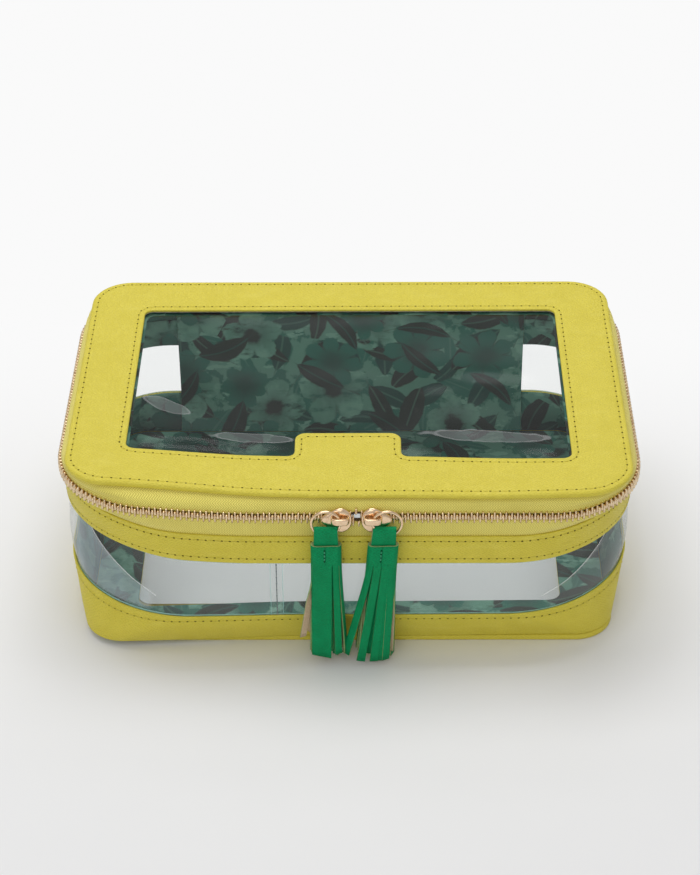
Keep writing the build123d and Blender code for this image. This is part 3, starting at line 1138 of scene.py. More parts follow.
def sheet_join():
    """The two ends of the clear sheet, sewn over each other on the front."""
    x0, x1 = overlap_x
    z0, z1 = lower_top_z + 0.1, upper_z - 0.1

    def place(x, z):
        return at(x, wall_inset(z) + 0.75 - sheet_swell(x, z), z)

    across = [x0 + (x1 - x0) * k / 6 for k in range(7)]
    piece = sheet("clear_sheet_join", [clear_side], place, across, runs(z0, z1, 2.0))
    dress(piece, "base", "clear_sheet", "side_window_overlap")
    for name, x in (("join_edge_left", x0), ("join_edge_right", x1)):
        line = sheet(name, [sheet_edge], place, [x - 0.15, x + 0.15], runs(z0, z1, 2.0))
        dress(line, "base", "clear_sheet")
    middle = (x0 + x1) / 2
    path = [(settle(place(middle, z)), (0, -1, 0)) for z in runs(z0 + 1, z1 - 1, 2.0)]
    stitch_row("join_stitches", path, 3.3, "base", clear_thread, clear_thread, 0.12)


def lining_band(name, node, z0, z1, into):
    """Printed lining on the inside of a leather band, with its top edge turned."""
    start, end = -wall_end, wall_end
    section = [
        (wall_inset(z0) + into, z0),
        (wall_inset(z1) + into, z1),
        (wall_inset(z1) + into + 0.35, z1 + 0.05),
        (wall_inset(z1) + into + 0.6, z1 - 0.3),
        (wall_inset(z0) + into + 0.5, z0),
    ]
    piece = band(name, [print_lining], section)
    (end - start) * MM
    dress(piece, "base", "print_lining", node)


def linings():
    low, high = foot_z, lower_top_z - 0.2
    lining_band("lower_lining", "lower_band_lining", low, high, lining_depth)
    low, high = upper_z + 0.2, upper_top_z
    lining_band("upper_lining", "upper_band_lining", low, high, upper_lining_depth)


def underside():
    """Leather underside with its rolled rim and the edge turned into its window."""
    rim = (
        (1.8, 0.0),
        (1.0, 0.0),
        (0.45, 0.15),
        (0.1, 0.6),
        (0.0, 1.2),
        (0.05, 1.9),
        (0.3, 2.5),
        (0.8, 2.85),
        (2.0, 2.95),
    )
    skin = Skin()
    rows = []
    for more_in, z in rim:
        places = [at(run, foot_inset + more_in, z) for run in all_round()]
        rows.append([skin.point((x, y, z), x, y + z) for x, y, _ in places])
    skin.grid(rows, round_it=True)
    edge = []
    for grow, z in ((0.6, 0.0), (0.15, 0.12), (0.0, 0.5), (0.1, 1.0)):
        edge.append([skin.point((x, y, z), x + z, y + z) for x, y in floor_loop(grow)])
    skin.grid(edge, round_it=True)
    hole = floor_loop(0.6)
    more = [floor_loop(grow) for grow in (2.2, 3.0, 3.8)]

    def height(x, y):
        return 0.12 * math.exp(-(((distance((x, y), hole) - 2.4) / 0.8) ** 2))

    plate(skin, outline(foot_inset + rim[0][0], 0), hole, more, height, 7.0)
    piece = skin.make("leather_underside", [yellow], weld=0.002, sag=False)
    dress(piece, "base", "yellow_leather", "bottom_frame", "bottom_seam_binding")
    path = [((x, y, 0.4), (0, 0, -1)) for x, y in more[1]]
    stitch_row("floor_window_stitches", path, 4.0, "base", yellow_thread, holes, 0.05, True)


def floor_sheet():
    """Clear sheet of the floor, a little uneven inside its window."""
    def place(x, y):
        dip = 0.25 * noise.noise(Vector((x / 40.0, y / 40.0, 1.0)))
        near = min(floor_window[0] / 2 - abs(x), floor_window[1] / 2 - abs(y))
        return (x, y, 1.3 + dip * smoothstep(0, 12, near))

    across, up = (runs(-size / 2 - 8, size / 2 + 8, 4) for size in floor_window)
    window = sheet("clear_floor_sheet", [clear_floor], place, across, up)
    dress(window, "base", "clear_sheet", "bottom_window")


def floor_lining():
    """Printed lining round the floor window, with a turned edge."""
    skin = Skin()
    z = floor_lining_z
    loops = []
    for grow, level in ((0.5, z), (0.1, z - 0.12), (0.0, z - 0.5), (0.3, z - 0.6)):
        loops.append([skin.point((x, y, level), x, y + level - z) for x, y in floor_loop(grow)])
    skin.grid(loops, round_it=True)

    def height(x, y):
        return z + 0.1 * noise.noise(Vector((x, y, 0)) / 15)

    plate(skin, outline(floor_lining_inset, z), floor_loop(0.5), [], height, 7.0)
    piece = skin.make("floor_lining", [print_lining], weld=0.002, closed=False)
    dress(piece, "base", "print_lining", "bottom_lining")


def back_wall():
    """Leather back panel, its printed lining and its stitches down both sides and along the top."""
    start, end = back_run - panel_half, back_run + panel_half
    section = strip_section(foot_z, panel_top_z, (), 0.2)
    piece = band("leather_back_panel", [yellow], section, start, end, 4.0)
    dress(piece, "base", "yellow_leather", "back_panel")
    back_lining(runs(start, end, 4.0))
    for name, side in (("back_panel_stitches_right", -1), ("back_panel_stitches_left", 1)):
        run = back_run + side * (panel_half - panel_row)
        levels = runs(6.0, panel_top_z - panel_row, 4.0)
        path = [(at(run, wall_inset(z) + 0.02, z), (0, 1, 0)) for z in levels]
        wall_stitches(name, path)
    path = wall_path(upper_inset + 0.02, panel_top_z - panel_row, start + 3, end - 3)
    wall_stitches("back_panel_stitches_top", path)


def back_lining(across):
    """Printed lining inside the back panel, its top edge turned over the board."""
    top = panel_top_z
    levels = [(z, 0.0) for z in runs(foot_z, top - 1.0, 4.0)]
    levels += [(top - 0.6, 0.0), (top - 0.15, -0.1), (top, -0.45), (top - 0.1, -0.8)]
    skin = Skin()
    rows = []
    for z, more in levels:
        inset = wall_inset(z) + panel_lining_depth + more
        rows.append([skin.point(at(run, inset, z), run, z - more) for run in across])
    skin.grid(rows)
    lining = skin.make("back_panel_lining_print", [print_lining], closed=False)
    dress(lining, "base", "print_lining", "back_panel_lining")


def hinge():
    """Leather bowed outward between the back panel and the lid, in one fixed shape."""
    start, end = back_run - panel_half, back_run + panel_half
    z0, z1 = panel_top_z - 0.6, skirt_z + 1.2
    lean = lid_inset + 0.5 - upper_inset - 0.35
    skin = Skin()
    rows = []
    for run in runs(start, end, 4.0):
        row = []
        for inward, swell, way in ((0.35, 0.7, 1), (1.25, 0.6, -1)):
            for k in range(15)[::way]:
                t = k / 14
                z = z0 + (z1 - z0) * t
                inset = upper_inset + inward + lean * t - swell * math.sin(math.pi * t)
                row.append(skin.point(at(run, inset, z), run, z))
        rows.append(row)
    skin.loft(rows)
    piece = skin.make("hinge_leather", [yellow])
    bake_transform(piece)
    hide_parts("hinge_strip")


# ---- zip -------------------------------------------------------------------------
# outer lines of the two tapes, from below to above: inset, height
lower_tape_line = [
    (2.05, 57.4), (2.05, 65.0), (1.95, 66.3), (1.65, 67.8), (1.3, 69.4), (1.0, 71.0),
    (0.7, 72.6), (0.35, 74.0), (0.0, 75.0), (-0.1, 75.8), (0.15, 76.6), (0.4, 77.95),
]
upper_tape_line = [
    (0.45, 78.05), (0.35, 79.4), (0.1, 80.2), (0.05, 81.1), (0.25, 82.0), (0.6, 83.0), (1.15, 84.0),
    (1.9, 84.9), (2.7, 85.5), (3.5, 85.95), (4.3, 86.3), (4.6, 87.0), (4.65, 88.3),
]


def tape_section(outer):
    """Closed section of a tape from its outer line."""
    return outer + [(inset + tape_t, z) for inset, z in reversed(outer)]


def tapes():
    """Both tapes; outside woven, inside printed, dark along the teeth."""
    looks = [tape, print_lining, tape_shade]
    count = len(lower_tape_line)
    kinds = [0] * (count - 2) + [2, 2] + [1] * (count - 1) + [0]
    piece = band("lower_zip_tape", looks, tape_section(lower_tape_line), kinds=kinds)
    dress(piece, "base", "yellow_tape", "zipper_tape_lower")
    count = len(upper_tape_line)
    kinds = [2] + [0] * (count - 1) + [1] * (count - 1) + [2]
    piece = band("upper_zip_tape", looks, tape_section(upper_tape_line), kinds=kinds)
    dress(piece, "lid", "yellow_tape", "zipper_tape_upper")


def tooth(skin, run, up, lean):
    """One zip tooth: legs that clamp the tape's edge, and a head that reaches over the middle."""
    x, y, out_x, out_y = on_line(run)
    out = Vector((out_x, out_y, 0))
    along = Vector((-out_y, out_x, 0))
    rings = (  # way from the middle of the chain, half length, half depth
        (2.8, 0.28, 0.9), (2.65, 0.42, 1.35), (2.1, 0.48, 1.6), (1.3, 0.48, 1.55), (0.75, 0.54, 1.5),
        (0.2, 0.68, 1.6), (-0.45, 0.7, 1.65), (-1.0, 0.6, 1.45), (-1.25, 0.3, 0.8),
    )
    apart = 1.6 * up * math.exp(-(((x - meet_x) / 2.6) ** 2)) if y < 0 else 0.0
    rows = []
    for level, half_long, half_deep in rings:
        middle = Vector((x, y, chain_z - up * level - apart)) + along * lean * (3.5 - level)
        row = []
        for k in range(8):
            a = math.pi * (k + 0.5) / 4
            c, s = boxy(math.cos(a), 0.6), boxy(math.sin(a), 0.6)
            row.append(skin.point(middle + along * half_long * c + out * half_deep * s, k, level))
        rows.append(row)
    skin.loft(rows)


def teeth():
    """Two rows of teeth that mesh, a little apart in the gap between the sliders."""
    rng = random.Random(7)
    count = int(2 * (wall_end - 6) / tooth_pitch)
    first = -count * tooth_pitch / 2
    for name, body, up, shift, node in (
        ("lower_zip_teeth", "base", 1, 0.0, "zipper_teeth_lower"),
        ("upper_zip_teeth", "lid", -1, 0.5, "zipper_teeth_upper"),
    ):
        skin = Skin()
        for i in range(count):
            tooth(skin, first + (i + shift) * tooth_pitch, up, rng.uniform(-0.02, 0.02))
        piece = skin.make(name, [tooth_gold])
        dress(piece, body, "rose_gold", node)


# ---- lid -------------------------------------------------------------------------
# section of the lid's turned edge, from its top face round to the underside: inset, height
lid_rim = [
    (lid_inset + inward, case_h - down)
    for inward, down in (
        (1.9, 0.1),
        (1.2, 0.16),
        (0.6, 0.42),
        (0.2, 0.85),
        (0.0, 1.45),
        (0.0, 2.1),
        (0.2, 2.6),
        (0.6, 2.95),
        (1.4, 3.0),
    )
]


def lid_surface():
    """Gives the height of the lid's leather at (x, y): uneven, pulled down along its stitches."""
    edge_line = outline(lid_inset, case_h)
    hole = lid_loop(0.7)

    def height(x, y):
        from_edge = distance((x, y), edge_line)
        from_hole = distance((x, y), hole) + 0.7
        pull = 0.2 * math.exp(-(((from_edge - 3.0) / 0.8) ** 2))
        pull += 0.2 * math.exp(-(((from_hole - 3.0) / 0.8) ** 2))
        middle = smoothstep(2.5, 10, min(from_edge, from_hole))
        soft = noise.noise(Vector((x / 38.0, y / 38.0, 9.0)))
        return case_h - 0.1 - pull + middle * (0.18 + 0.28 * soft)

    return height


def lid_edge(skin, height):
    """The lid's leather, turned down round its outer edge."""
    rows = []
    reach = 0.0
    for i, (inset, z) in enumerate(lid_rim):
        if i:
            reach += math.hypot(inset - lid_rim[i - 1][0], z - lid_rim[i - 1][1])
        gone = reach - (lid_rim[0][0] - inset)
        row = []
        for run in all_round():
            x, y, _ = at(run, inset, z)
            _, _, out_x, out_y = on_line(run, z)
            level = z if i else height(x, y)
            row.append(skin.point((x, y, level), x + out_x * gone, y + out_y * gone))
        rows.append(row)
    skin.grid(rows, round_it=True)


def lid_window_edge(skin, height):
    """The lid's leather, turned down into its window."""
    loops = []
    for grow, drop in ((0.7, 0.0), (0.3, 0.12), (0.05, 0.4), (0.0, 0.8), (0.15, 1.25)):
        row = []
        for (x, y), (hx, hy) in zip(lid_loop(grow), lid_loop(0.7)):
            row.append(skin.point((x, y, height(hx, hy) - drop), x + drop, y + drop))
        loops.append(row)
    skin.grid(loops, round_it=True)


def lid_leather():
    """The lid's leather with its two rows of stitches."""
    height = lid_surface()
    skin = Skin()
    more = [lid_loop(grow) for grow in (1.5, 2.3, 3.0, 3.7, 4.8)]
    more += [outline(lid_inset + inward, case_h) for inward in (2.4, 3.0, 3.6, 4.6)]
    plate(skin, outline(lid_rim[0][0], case_h), lid_loop(0.7), more, height, 5.0)
    lid_edge(skin, height)
    lid_window_edge(skin, height)
    piece = skin.make("lid_leather", [yellow], weld=0.002)
    dress(piece, "lid", "yellow_leather", "lid_frame")
    for name, loop, pitch in (
        ("lid_edge_stitches", outline(lid_inset + 3.0, case_h), 4.2),
        ("lid_window_stitches", lid_loop(3.0), 4.0),
    ):
        path = [(settle((x, y, height(x, y))), (0, 0, 1)) for x, y in loop]
        stitch_row(name, path, pitch, "lid", yellow_thread, holes, 0.14, True)


def lid_sheet_place(x, y):
    """The clear lid sheet, held flat at its edges and gently uneven between them."""
    near = min(lid_window[0] / 2 - abs(x), lid_window[1] / 2 - abs(y))
    share = smoothstep(-1.0, 16, near)
    waves = 1.5 * noise.noise(Vector((x / 46.0, y / 30.0, 2.0)))
    waves += 0.3 * noise.noise(Vector((x / 24.0, y / 18.0, 5.0)))
    waves += 0.3 * math.exp(-(((near - 9.0) / 6.0) ** 2))
    return (x, y, lid_sheet_z + share * waves)


def lid_sheet():
    """The clear sheet in the lid's window."""
    across, up = (runs(-size / 2 - 7, size / 2 + 7, 2.2) for size in lid_window)
    window = sheet("clear_lid_sheet", [clear], lid_sheet_place, across, up)
    dress(window, "lid", "clear_sheet", "lid_window")


def lid_lining():
    """The printed lining round the lid's window, with a turned edge."""
    def loop_at(grow):
        return rounded_path(
            rectangle(lid_window, grow, window_r), rectangle(lid_window, 0, lid_window_r)
        )

    skin = Skin()
    z = lid_lining_z
    loops = []
    for grow, level in ((0.2, z - 0.2), (-0.5, z - 0.15), (-1.0, z + 0.1), (-0.9, z + 0.35)):
        loops.append([skin.point((x, y, level), x, y + level - z) for x, y in loop_at(grow)])
    skin.grid(loops, round_it=True)
    outer = outline(lid_inset + 1.9, case_h)
    plate(skin, outer, loop_at(0.2), [], lambda x, y: z - 0.2, 7.0)
    lining = skin.make("lid_lining_print", [print_lining], weld=0.002, closed=False)
    dress(lining, "lid", "print_lining", "lid_lining")


def tab_back():
    """Printed cloth glued to the underside of the lid's tab."""
    skin = Skin()
    y0 = -lid_window[1] / 2 - 2
    y1 = -lid_window[1] / 2 + tab_h - 0.6
    rows = []
    for y in runs(y0, y1, 2.5):
        pull = 1.6 * smoothstep(y1 - 3.5, y1, y) ** 2
        half = tab_w / 2 - 0.6 - pull
        rows.append([skin.point((half * t / 6, y, tab_back_z), half * t / 6, y) for t in range(-6, 7)])
    skin.grid(rows)
    piece = skin.make("lid_tab_lining", [print_lining], closed=False)
    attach(piece, "lid")


def lid_stiffening():
    """Board inside the lid's leather."""
    low, _, high = lid_board_zs
    outer = outline(lid_board_inset, case_h)
    hole = lid_loop(0.4)
    skin = Skin()
    for level in (low, high):
        plate(skin, outer, hole, [], lambda x, y: level, 9.0)
    for loop in (outer, hole):
        rows = [[skin.point((x, y, z), x, y + z - low) for x, y in loop] for z in lid_board_zs]
        skin.grid(rows, round_it=True)
    piece = skin.make("lid_stiffener", [board], weld=0.002)
    dress(piece, "lid", "board", "lid_board")


def lid_binding():
    """Binding of the lid's inner seam."""
    section = (
        (5.5, 86.25), (5.4, 85.4), (5.5, 84.5), (5.9, 84.3), (6.3, 84.5), (6.4, 85.4), (6.3, 86.25),
    )
    skin = Skin()
    rows = []
    for run in all_round():
        x, y, out_x, out_y = on_line(run)
        rows.append([
            skin.point((x - out_x * inset, y - out_y * inset, z), run, z + inset) for inset, z in section
        ])
    skin.grid(rows + rows[:1], round_it=True)
    binding = skin.make("lid_inner_binding", [tape])
    dress(binding, "lid", "yellow_tape", "lid_seam_binding")


# ---- sliders, rings and tassels ------------------------------------------------------
def teardrop(nose_r, tail_r, length):
    """Outline of a slider's face along its length: round nose, narrower round tail."""
    steps = 40
    points = []
    for k in range(steps):
        a = 2 * math.pi * k / steps
        t = (1 - math.cos(a)) / 2
        half = nose_r + (tail_r - nose_r) * smoothstep(0.25, 0.95, t)
        points.append((length * t, half * boxy(math.sin(a), 0.8)))
    return points


# a slider's two plates: where its back lies, how far its foot leans out, and its levels from
# there, each a scale and a way out
slider_plates = (
    (-93.0, 0.12, (
        (0.8, 0.0), (0.95, 0.5), (1.0, 1.1), (0.98, 1.7), (0.88, 2.05), (0.6, 2.25), (0.1, 2.3),
    )),
    (-90.05, 0.0, ((0.55, 0.0), (0.68, 0.2), (0.7, 0.5), (0.66, 0.85), (0.4, 1.0), (0.08, 1.0))),
)


def slider(side, way):
    """Cast slider: crowned face that leans forward at its foot, back plate and ring arch."""
    nose = meet_x + way * nose_off
    nose_r, tail_r, length, middle = 6.3, 3.6, 13.6, 5.6
    face = teardrop(nose_r, tail_r, length)
    skin = Skin()
    for back_y, lean, levels in slider_plates:
        rows = []
        for scale, out in levels:
            row = []
            for x, z in face:
                px = nose + way * (middle + (x - middle) * scale)
                forward = out + (lean * (nose_r - z * scale) if out > 0.6 else 0.0)
                row.append(skin.point((px, back_y - forward, chain_z + z * scale), x, z))
            rows.append(row)
        skin.loft(rows)
    px = nose + way * 0.9
    path = [(px, -94.2, chain_z), (px + way * 0.6, -92.5, chain_z), (px, -90.4, chain_z)]
    tube(skin, path, 0.24, 8)
    body = skin.make(f"slider_{side}", [gold], sag=False)
    dress(body, f"slider_{side}", "rose_gold", f"slider_body_{side}")
    ring_arch(side, way, nose + way * arch_off)


def ring_arch(side, way, start):
    """Chunky bar cast over the slider's face; the ring goes through under it."""
    line = (
        (0.5, -95.0), (0.3, -96.4), (0.35, -97.6), (0.8, -98.55), (1.9, -98.95),
        (4.0, -99.0), (6.1, -98.95), (7.2, -98.55), (7.65, -97.6), (7.7, -96.4), (7.5, -95.0),
    )
    thick = 0.5
    skin = Skin()
    rows = []
    for i, (along, y) in enumerate(line):
        ahead = line[min(i + 1, len(line) - 1)]
        behind = line[max(i - 1, 0)]
        dx, dy = (ahead[0] - behind[0]) * way, ahead[1] - behind[1]
        size = math.hypot(dx, dy)
        nx, ny = dy / size, -dx / size
        half = 1.7 - 0.25 * min(1.0, abs(along - arch_half) / 3.7)
        row = []
        for m in range(16):
            b = 2 * math.pi * m / 16
            dz = half * boxy(math.cos(b), 0.65)
            dn = thick * boxy(math.sin(b), 0.65)
            place = (start + way * along + nx * dn, y + ny * dn, chain_z + 1.5 + dz)
            row.append(skin.point(place, b, along))
        rows.append(row)
    skin.loft(rows)
    cap = skin.make(f"slider_arch_{side}", [gold], sag=False)
    dress(cap, f"slider_{side}", "rose_gold", f"slider_cap_{side}")


def ring_x(way):
    """Sideways place of a ring's middle."""
    return meet_x + way * (nose_off + arch_off + arch_half + ring_r)


def pull_ring(side, way):
    skin = Skin()
    path = []
    for k in range(64):
        a = 2 * math.pi * k / 64
        path.append((ring_x(way) + ring_r * math.cos(a), ring_y, chain_z + ring_r * math.sin(a)))
    tube(skin, path, wire_r, 14, (0, 1, 0), closed=True)
    piece = skin.make(f"ring_wire_{side}", [gold], sag=False)
    dress(piece, f"ring_{side}", "rose_gold", f"pull_ring_{side}")


strip_t = 0.78  # thickness of the fringe's strips
# finishes round a leather strip's section: green face, cut edge, raw reverse, cut edge
strip_kinds = [0] * 6 + [2] + [1] * 6 + [2]


def ribbon(skin, path, across, breadths, thick):
    """A leather strip along a path: crowned green face, raw reverse and cut edges."""
    steps = (-1.0, -0.92, -0.5, 0.0, 0.5, 0.92, 1.0)
    rows = []
    length = 0.0
    for i, p in enumerate(path):
        p = Vector(p)
        before = Vector(path[max(0, i - 1)])
        after = Vector(path[min(len(path) - 1, i + 1)])
        along = (after - before).normalized()
        side = Vector(across)
        side = (side - along * side.dot(along)).normalized()
        out = along.cross(side)
        if i:
            length += (p - before).length
        half = breadths[i] / 2
        row = []
        for s in steps:
            crown = thick / 2 * (1.0 if abs(s) < 0.95 else 0.75)
            row.append(skin.point(p + side * half * s + out * crown, half * s, length))
        for s in reversed(steps):
            row.append(skin.point(p + side * half * s - out * thick / 2, half * s, length))
        rows.append(row)
    skin.loft(rows, strip_kinds, (0, 2))


def hang(side, z):
    """Sideways place of a tassel's middle at height z; the right one hangs a little to the left."""
    if side == "left":
        return ring_x(-1)
    return ring_x(1) - 1.2 - 0.07 * (75.0 - z)


def strap(side):
    """Leather loop through the ring; its two ends go down into the tassel's head."""
    top = 75.2
    levels = [(61.5, 0.6), (64.0, 0.6), (66.6, 0.65), (69.0, 1.05), (71.5, 1.4), (73.4, 1.45)]
    path = [(hang(side, z), ring_y - deep, z) for z, deep in levels]
    for k in range(7):
        a = math.pi * k / 6
        z = top - 0.9 + 1.2 * math.sin(a)
        path.append((hang(side, z), ring_y - 1.42 * math.cos(a), z))
    path += [(hang(side, z), ring_y + deep, z) for z, deep in reversed(levels)]
    breadths = [11.0, 11.0, 11.0, 10.8, 10.6, 10.5] + [10.4] * 7 + [10.5, 10.6, 10.8, 11.0, 11.0, 11.0]
    skin = Skin()
    ribbon(skin, path, (-1, 0, 0), breadths, 0.9)
    piece = skin.make(f"tassel_loop_{side}", [green, beige, cut_edge], sag=False)
    dress(piece, f"tassel_{side}", "green_leather", f"tassel_strap_{side}")


def round_length(half_l, half_deep):
    """Way once round a long outline with round ends."""
    return 4 * (half_l - half_deep) + 2 * math.pi * half_deep


def head_place(share, half_l, half_deep):
    """Point on the rolled head's long round outline, and the way along it; 0 is the front's middle."""
    straight = half_l - half_deep
    turn = math.pi * half_deep
    d = (share % 1.0) * (4 * straight + 2 * turn)
    if d <= straight:
        return (d, -half_deep), (1.0, 0.0)
    d -= straight
    for middle, way, next_straight in ((straight, -1, 2 * straight), (-straight, 1, straight)):
        if d <= turn:
            a = d / half_deep + way * math.pi / 2
            c, s = math.cos(a), math.sin(a)
            return (middle + half_deep * c, half_deep * s), (-s, c)
        d -= turn
        if d <= next_straight:
            return (middle + way * d, -way * half_deep), (way, 0.0)
        d -= next_straight
    return (0.0, -half_deep), (1.0, 0.0)


def head_pinch(z):
    """How much shallower the head is towards its top."""
    return 1.05 * smoothstep(head_bottom + 1, head_top, z)


def tassel_head(skin, side):
    """Rolled leather head; its cut top edge shows pale, and the roll's inner turn fills it."""
    count = head_points
    top, bottom = head_top, head_bottom
    round_l = round_length(*fringe_half)
    half_l, half_deep = head_half
    rows = []
    for z in [bottom, bottom + 0.5, *runs(bottom + 1.2, top, 1.4)]:
        wall = 0.85 * smoothstep(bottom, bottom + 2.0, z) + 0.04
        pinch = head_pinch(z)
        row = []
        for grow in (0.0, -wall):
            for k in range(count):
                (px, py), _ = head_place(k / count, half_l + grow, half_deep - pinch + grow)
                lift = 0.12 * math.sin(px * 0.5) if z == top else 0.0
                place = (hang(side, z) + px, ring_y + py, z + lift)
                row.append(skin.point(place, k * round_l / count, z))
        rows.append(row)
    for low, high in zip(rows, rows[1:]):
        for k in range(count):
            j = (k + 1) % count
            skin.face((low[k], low[j], high[j], high[k]), 0)
            skin.face((low[count + j], low[count + k], high[count + k], high[count + j]), 1)
    high = rows[-1]
    for k in range(count):
        j = (k + 1) % count
        skin.face((high[k], high[j], high[count + j], high[count + k]), 2)
    inner_turn(skin, side)


def inner_turn(skin, side):
    """The roll's inner turn, standing inside the head."""
    count = head_points
    rows = []
    for drop, grow in ((6.0, 0.0), (0.2, 0.0), (0.2, -0.7), (6.0, -0.7)):
        row = []
        for k in range(count):
            (px, py), _ = head_place(k / count, 5.85 + grow, 1.25 + grow)
            place = (hang(side, head_top) + px, ring_y + py, head_top - drop)
            row.append(skin.point(place, k * 0.75, drop))
        rows.append(row)
    for kind, (low, high) in zip((0, 2, 1), zip(rows, rows[1:])):
        skin.grid([low, high], round_it=True, kinds=[kind] * count)


def fringe_strip(skin, side, share, layer, top, breadths, tip, reach, twist, cut, wave):
    """One strip of the fringe: curved round the head where it starts, flat at its cut tip.

    share is its place round the head, tip its lowest height, reach how far its tip
    swings (along the head, out from it).
    """
    round_l = round_length(*layer)
    (px, py), (tx, ty) = head_place(share, *layer)
    out = (ty, -tx)
    rows = []
    steps = 14
    places = (-1.0, -0.9, -0.45, 0.0, 0.45, 0.9, 1.0)
    for k in range(-1, steps + 1):
        t = max(0.0, k / steps)
        z = top + (tip - top) * t - (0.2 if k == 0 else 0.0)
        flat = smoothstep(0.05, 0.6, t)
        half = (breadths[0] + (breadths[1] - breadths[0]) * t) / 2
        away = reach[1] * t**1.4
        slide = reach[0] * t**1.2 + wave * math.sin(math.pi * t)
        turn = twist * smoothstep(0.0, 0.6, t)
        c, s = math.cos(turn), math.sin(turn)
        side_x, side_y = tx * c - ty * s, tx * s + ty * c
        outer, inner = [], []
        for place in places:
            (qx, qy), (ax, ay) = head_place(share + place * half / round_l, *layer)
            fx, fy = px + side_x * half * place, py + side_y * half * place
            nx, ny = ay + (side_y - ay) * flat, -ax + (-side_x + ax) * flat
            size = math.hypot(nx, ny)
            x = hang(side, z) + qx + (fx - qx) * flat + tx * slide + out[0] * away
            y = ring_y + qy + (fy - qy) * flat + ty * slide + out[1] * away
            level = z + (cut * place if k == steps else 0.0)
            low = 0.1 if abs(place) == 1 else 0.0
            flat_x = share * round_l + half * place
            for line, inward in ((outer, low), (inner, strip_t)):
                spot = (x - nx / size * inward, y - ny / size * inward, level)
                line.append(skin.point(spot, flat_x, z))
        rows.append(outer + inner[::-1])
    skin.loft(rows, strip_kinds, (0, 2))


def fringe(skin, side, front_strips, beige_strips, rng):
    """All strips: the front's, those of the sides and back, an inner layer and the beige ones."""
    z_top = head_bottom + 0.8
    spread = rng.uniform
    head_l = round_length(*head_half)
    for place, wide, tip_wide, reach, tip, forward, slant in front_strips:
        fringe_strip(
            skin, side, place / head_l, fringe_half, z_top, (wide, tip_wide), tip,
            (reach, forward), spread(-0.1, 0.1), slant, spread(-0.3, 0.3),
        )
    for i in range(9):
        fringe_strip(
            skin, side, 0.27 + 0.46 * i / 8, fringe_half, z_top, (2.7, 2.6), 4.4 + spread(0, 3.0),
            (spread(-1.2, 1.2), spread(-0.4, 0.9)), spread(-0.3, 0.3),
            spread(-0.5, 0.5), spread(-0.4, 0.4),
        )
    for i in range(12):
        fringe_strip(
            skin, side, (i + 0.5) / 12, (5.2, 1.7), z_top + 3.0, (2.6, 2.6), 4.6 + spread(0, 2.5),
            (spread(-0.8, 0.8), spread(-0.2, 0.6)), spread(-0.5, 0.5),
            spread(-0.5, 0.5), spread(-0.4, 0.4),
        )
    for share, reach, tip, turn in beige_strips:
        fringe_strip(
            skin, side, share, (6.0, 2.4), z_top + 1.0, (2.6, 2.8), tip,
            reach, turn, spread(-0.4, 0.4), spread(-0.3, 0.3),
        )


def tassel(side, front_strips, beige_strips, seed):
    """Head, fringe and the short row of stitches on the head.

    front_strips: place across the front, breadth there and at the tip, the tip's sideways
    reach, its height, how far forward it hangs and the slant of its cut.
    beige_strips, which show their raw reverse: place round the head, reach, height, twist.
    """
    skin = Skin()
    tassel_head(skin, side)
    fringe(skin, side, front_strips, beige_strips, random.Random(seed))
    piece = skin.make(f"tassel_fringe_{side}", [green, beige, cut_edge], sag=False)
    dress(piece, f"tassel_{side}", "green_leather", f"tassel_skirt_{side}")
    path = []
    for z in (64.6, 62.0, 59.4):
        face_y = ring_y - 3.24 + head_pinch(z)
        path.append(((hang(side, z) - 0.7, face_y, z), (0, -1, 0)))
    row = stitch_row(
        f"tassel_stitches_{side}", path, 1.9, f"tassel_{side}", green_thread, green_holes, 0.12
    )


# ---- what the solids themselves show ---------------------------------------------------
def finish_solids():
    for name in ("bottom_stiffener", "back_panel_board"):
        put_look(name, board)
    for name in ("zipper_stop_left", "zipper_stop_right"):
        put_look(name, tooth_gold)


def put_look(name, look):
    piece = nodes[name]
    piece.data.materials.clear()
    piece.data.materials.append(look)


# ---- stage --------------------------------------------------------------------------------
backdrop_white = (0.955, 0.955, 0.955, 1.0)


def is_ray(look, first, *more):
    """1 for the kinds of ray named and 0 for all others."""
    ray = look.add("ShaderNodeLightPath")
    found = Val(look, ray.outputs[f"Is {first} Ray"])
    for kind in more:
        found = found.most(Val(look, ray.outputs[f"Is {kind} Ray"]))
    return found


def stage_floor():
    """Pale sweep: plain floor in front, white behind, with the object's shadow kept."""
    look = Look("studio_sweep")
    place = look.solid_place()
    split = look.add("ShaderNodeSeparateXYZ", {}, {0: place})
    away = look.add("ShaderNodeVectorMath", {"operation": "LENGTH"}, {0: place})
    back = Val(look, split.outputs[1]).ramp(-80.0, 190.0)
    back = back.most(Val(look, away.outputs["Value"]).ramp(430.0, 800.0))
    speck = look.noise(place, 60.0, 2.0)
    seen = is_ray(look, "Camera", "Glossy", "Transmission")
    base = look.mix(speck, (0.825, 0.825, 0.83, 1.0), (0.84, 0.84, 0.845, 1.0))
    plain = look.add("ShaderNodeBsdfDiffuse", {}, {"Color": base})
    white = look.add("ShaderNodeEmission", {}, {"Color": backdrop_white, "Strength": 1.0})
    look.end_mixed(back * seen, plain, white)
    skin = Skin()
    rows = []
    for y in runs(-1500, 4000, 250):
        rows.append([skin.point((x, y, -0.02), x, y) for x in runs(-3000, 3000, 250)])
    skin.grid(rows)
    floor = skin.make("studio_floor", [look.material], closed=False, sag=False)


def lamp(name, place, aim, size, power, shape_ratio=1.0):
    data = bpy.data.lights.new(name, "AREA")
    data.shape = "RECTANGLE"
    data.size = size
    data.size_y = size * shape_ratio
    data.energy = power
    piece = bpy.data.objects.new(name, data)
    piece.location = place
    way = Vector(aim) - Vector(place)
    piece.rotation_euler = way.to_track_quat("-Z", "Y").to_euler()
    bpy.context.scene.collection.objects.link(piece)


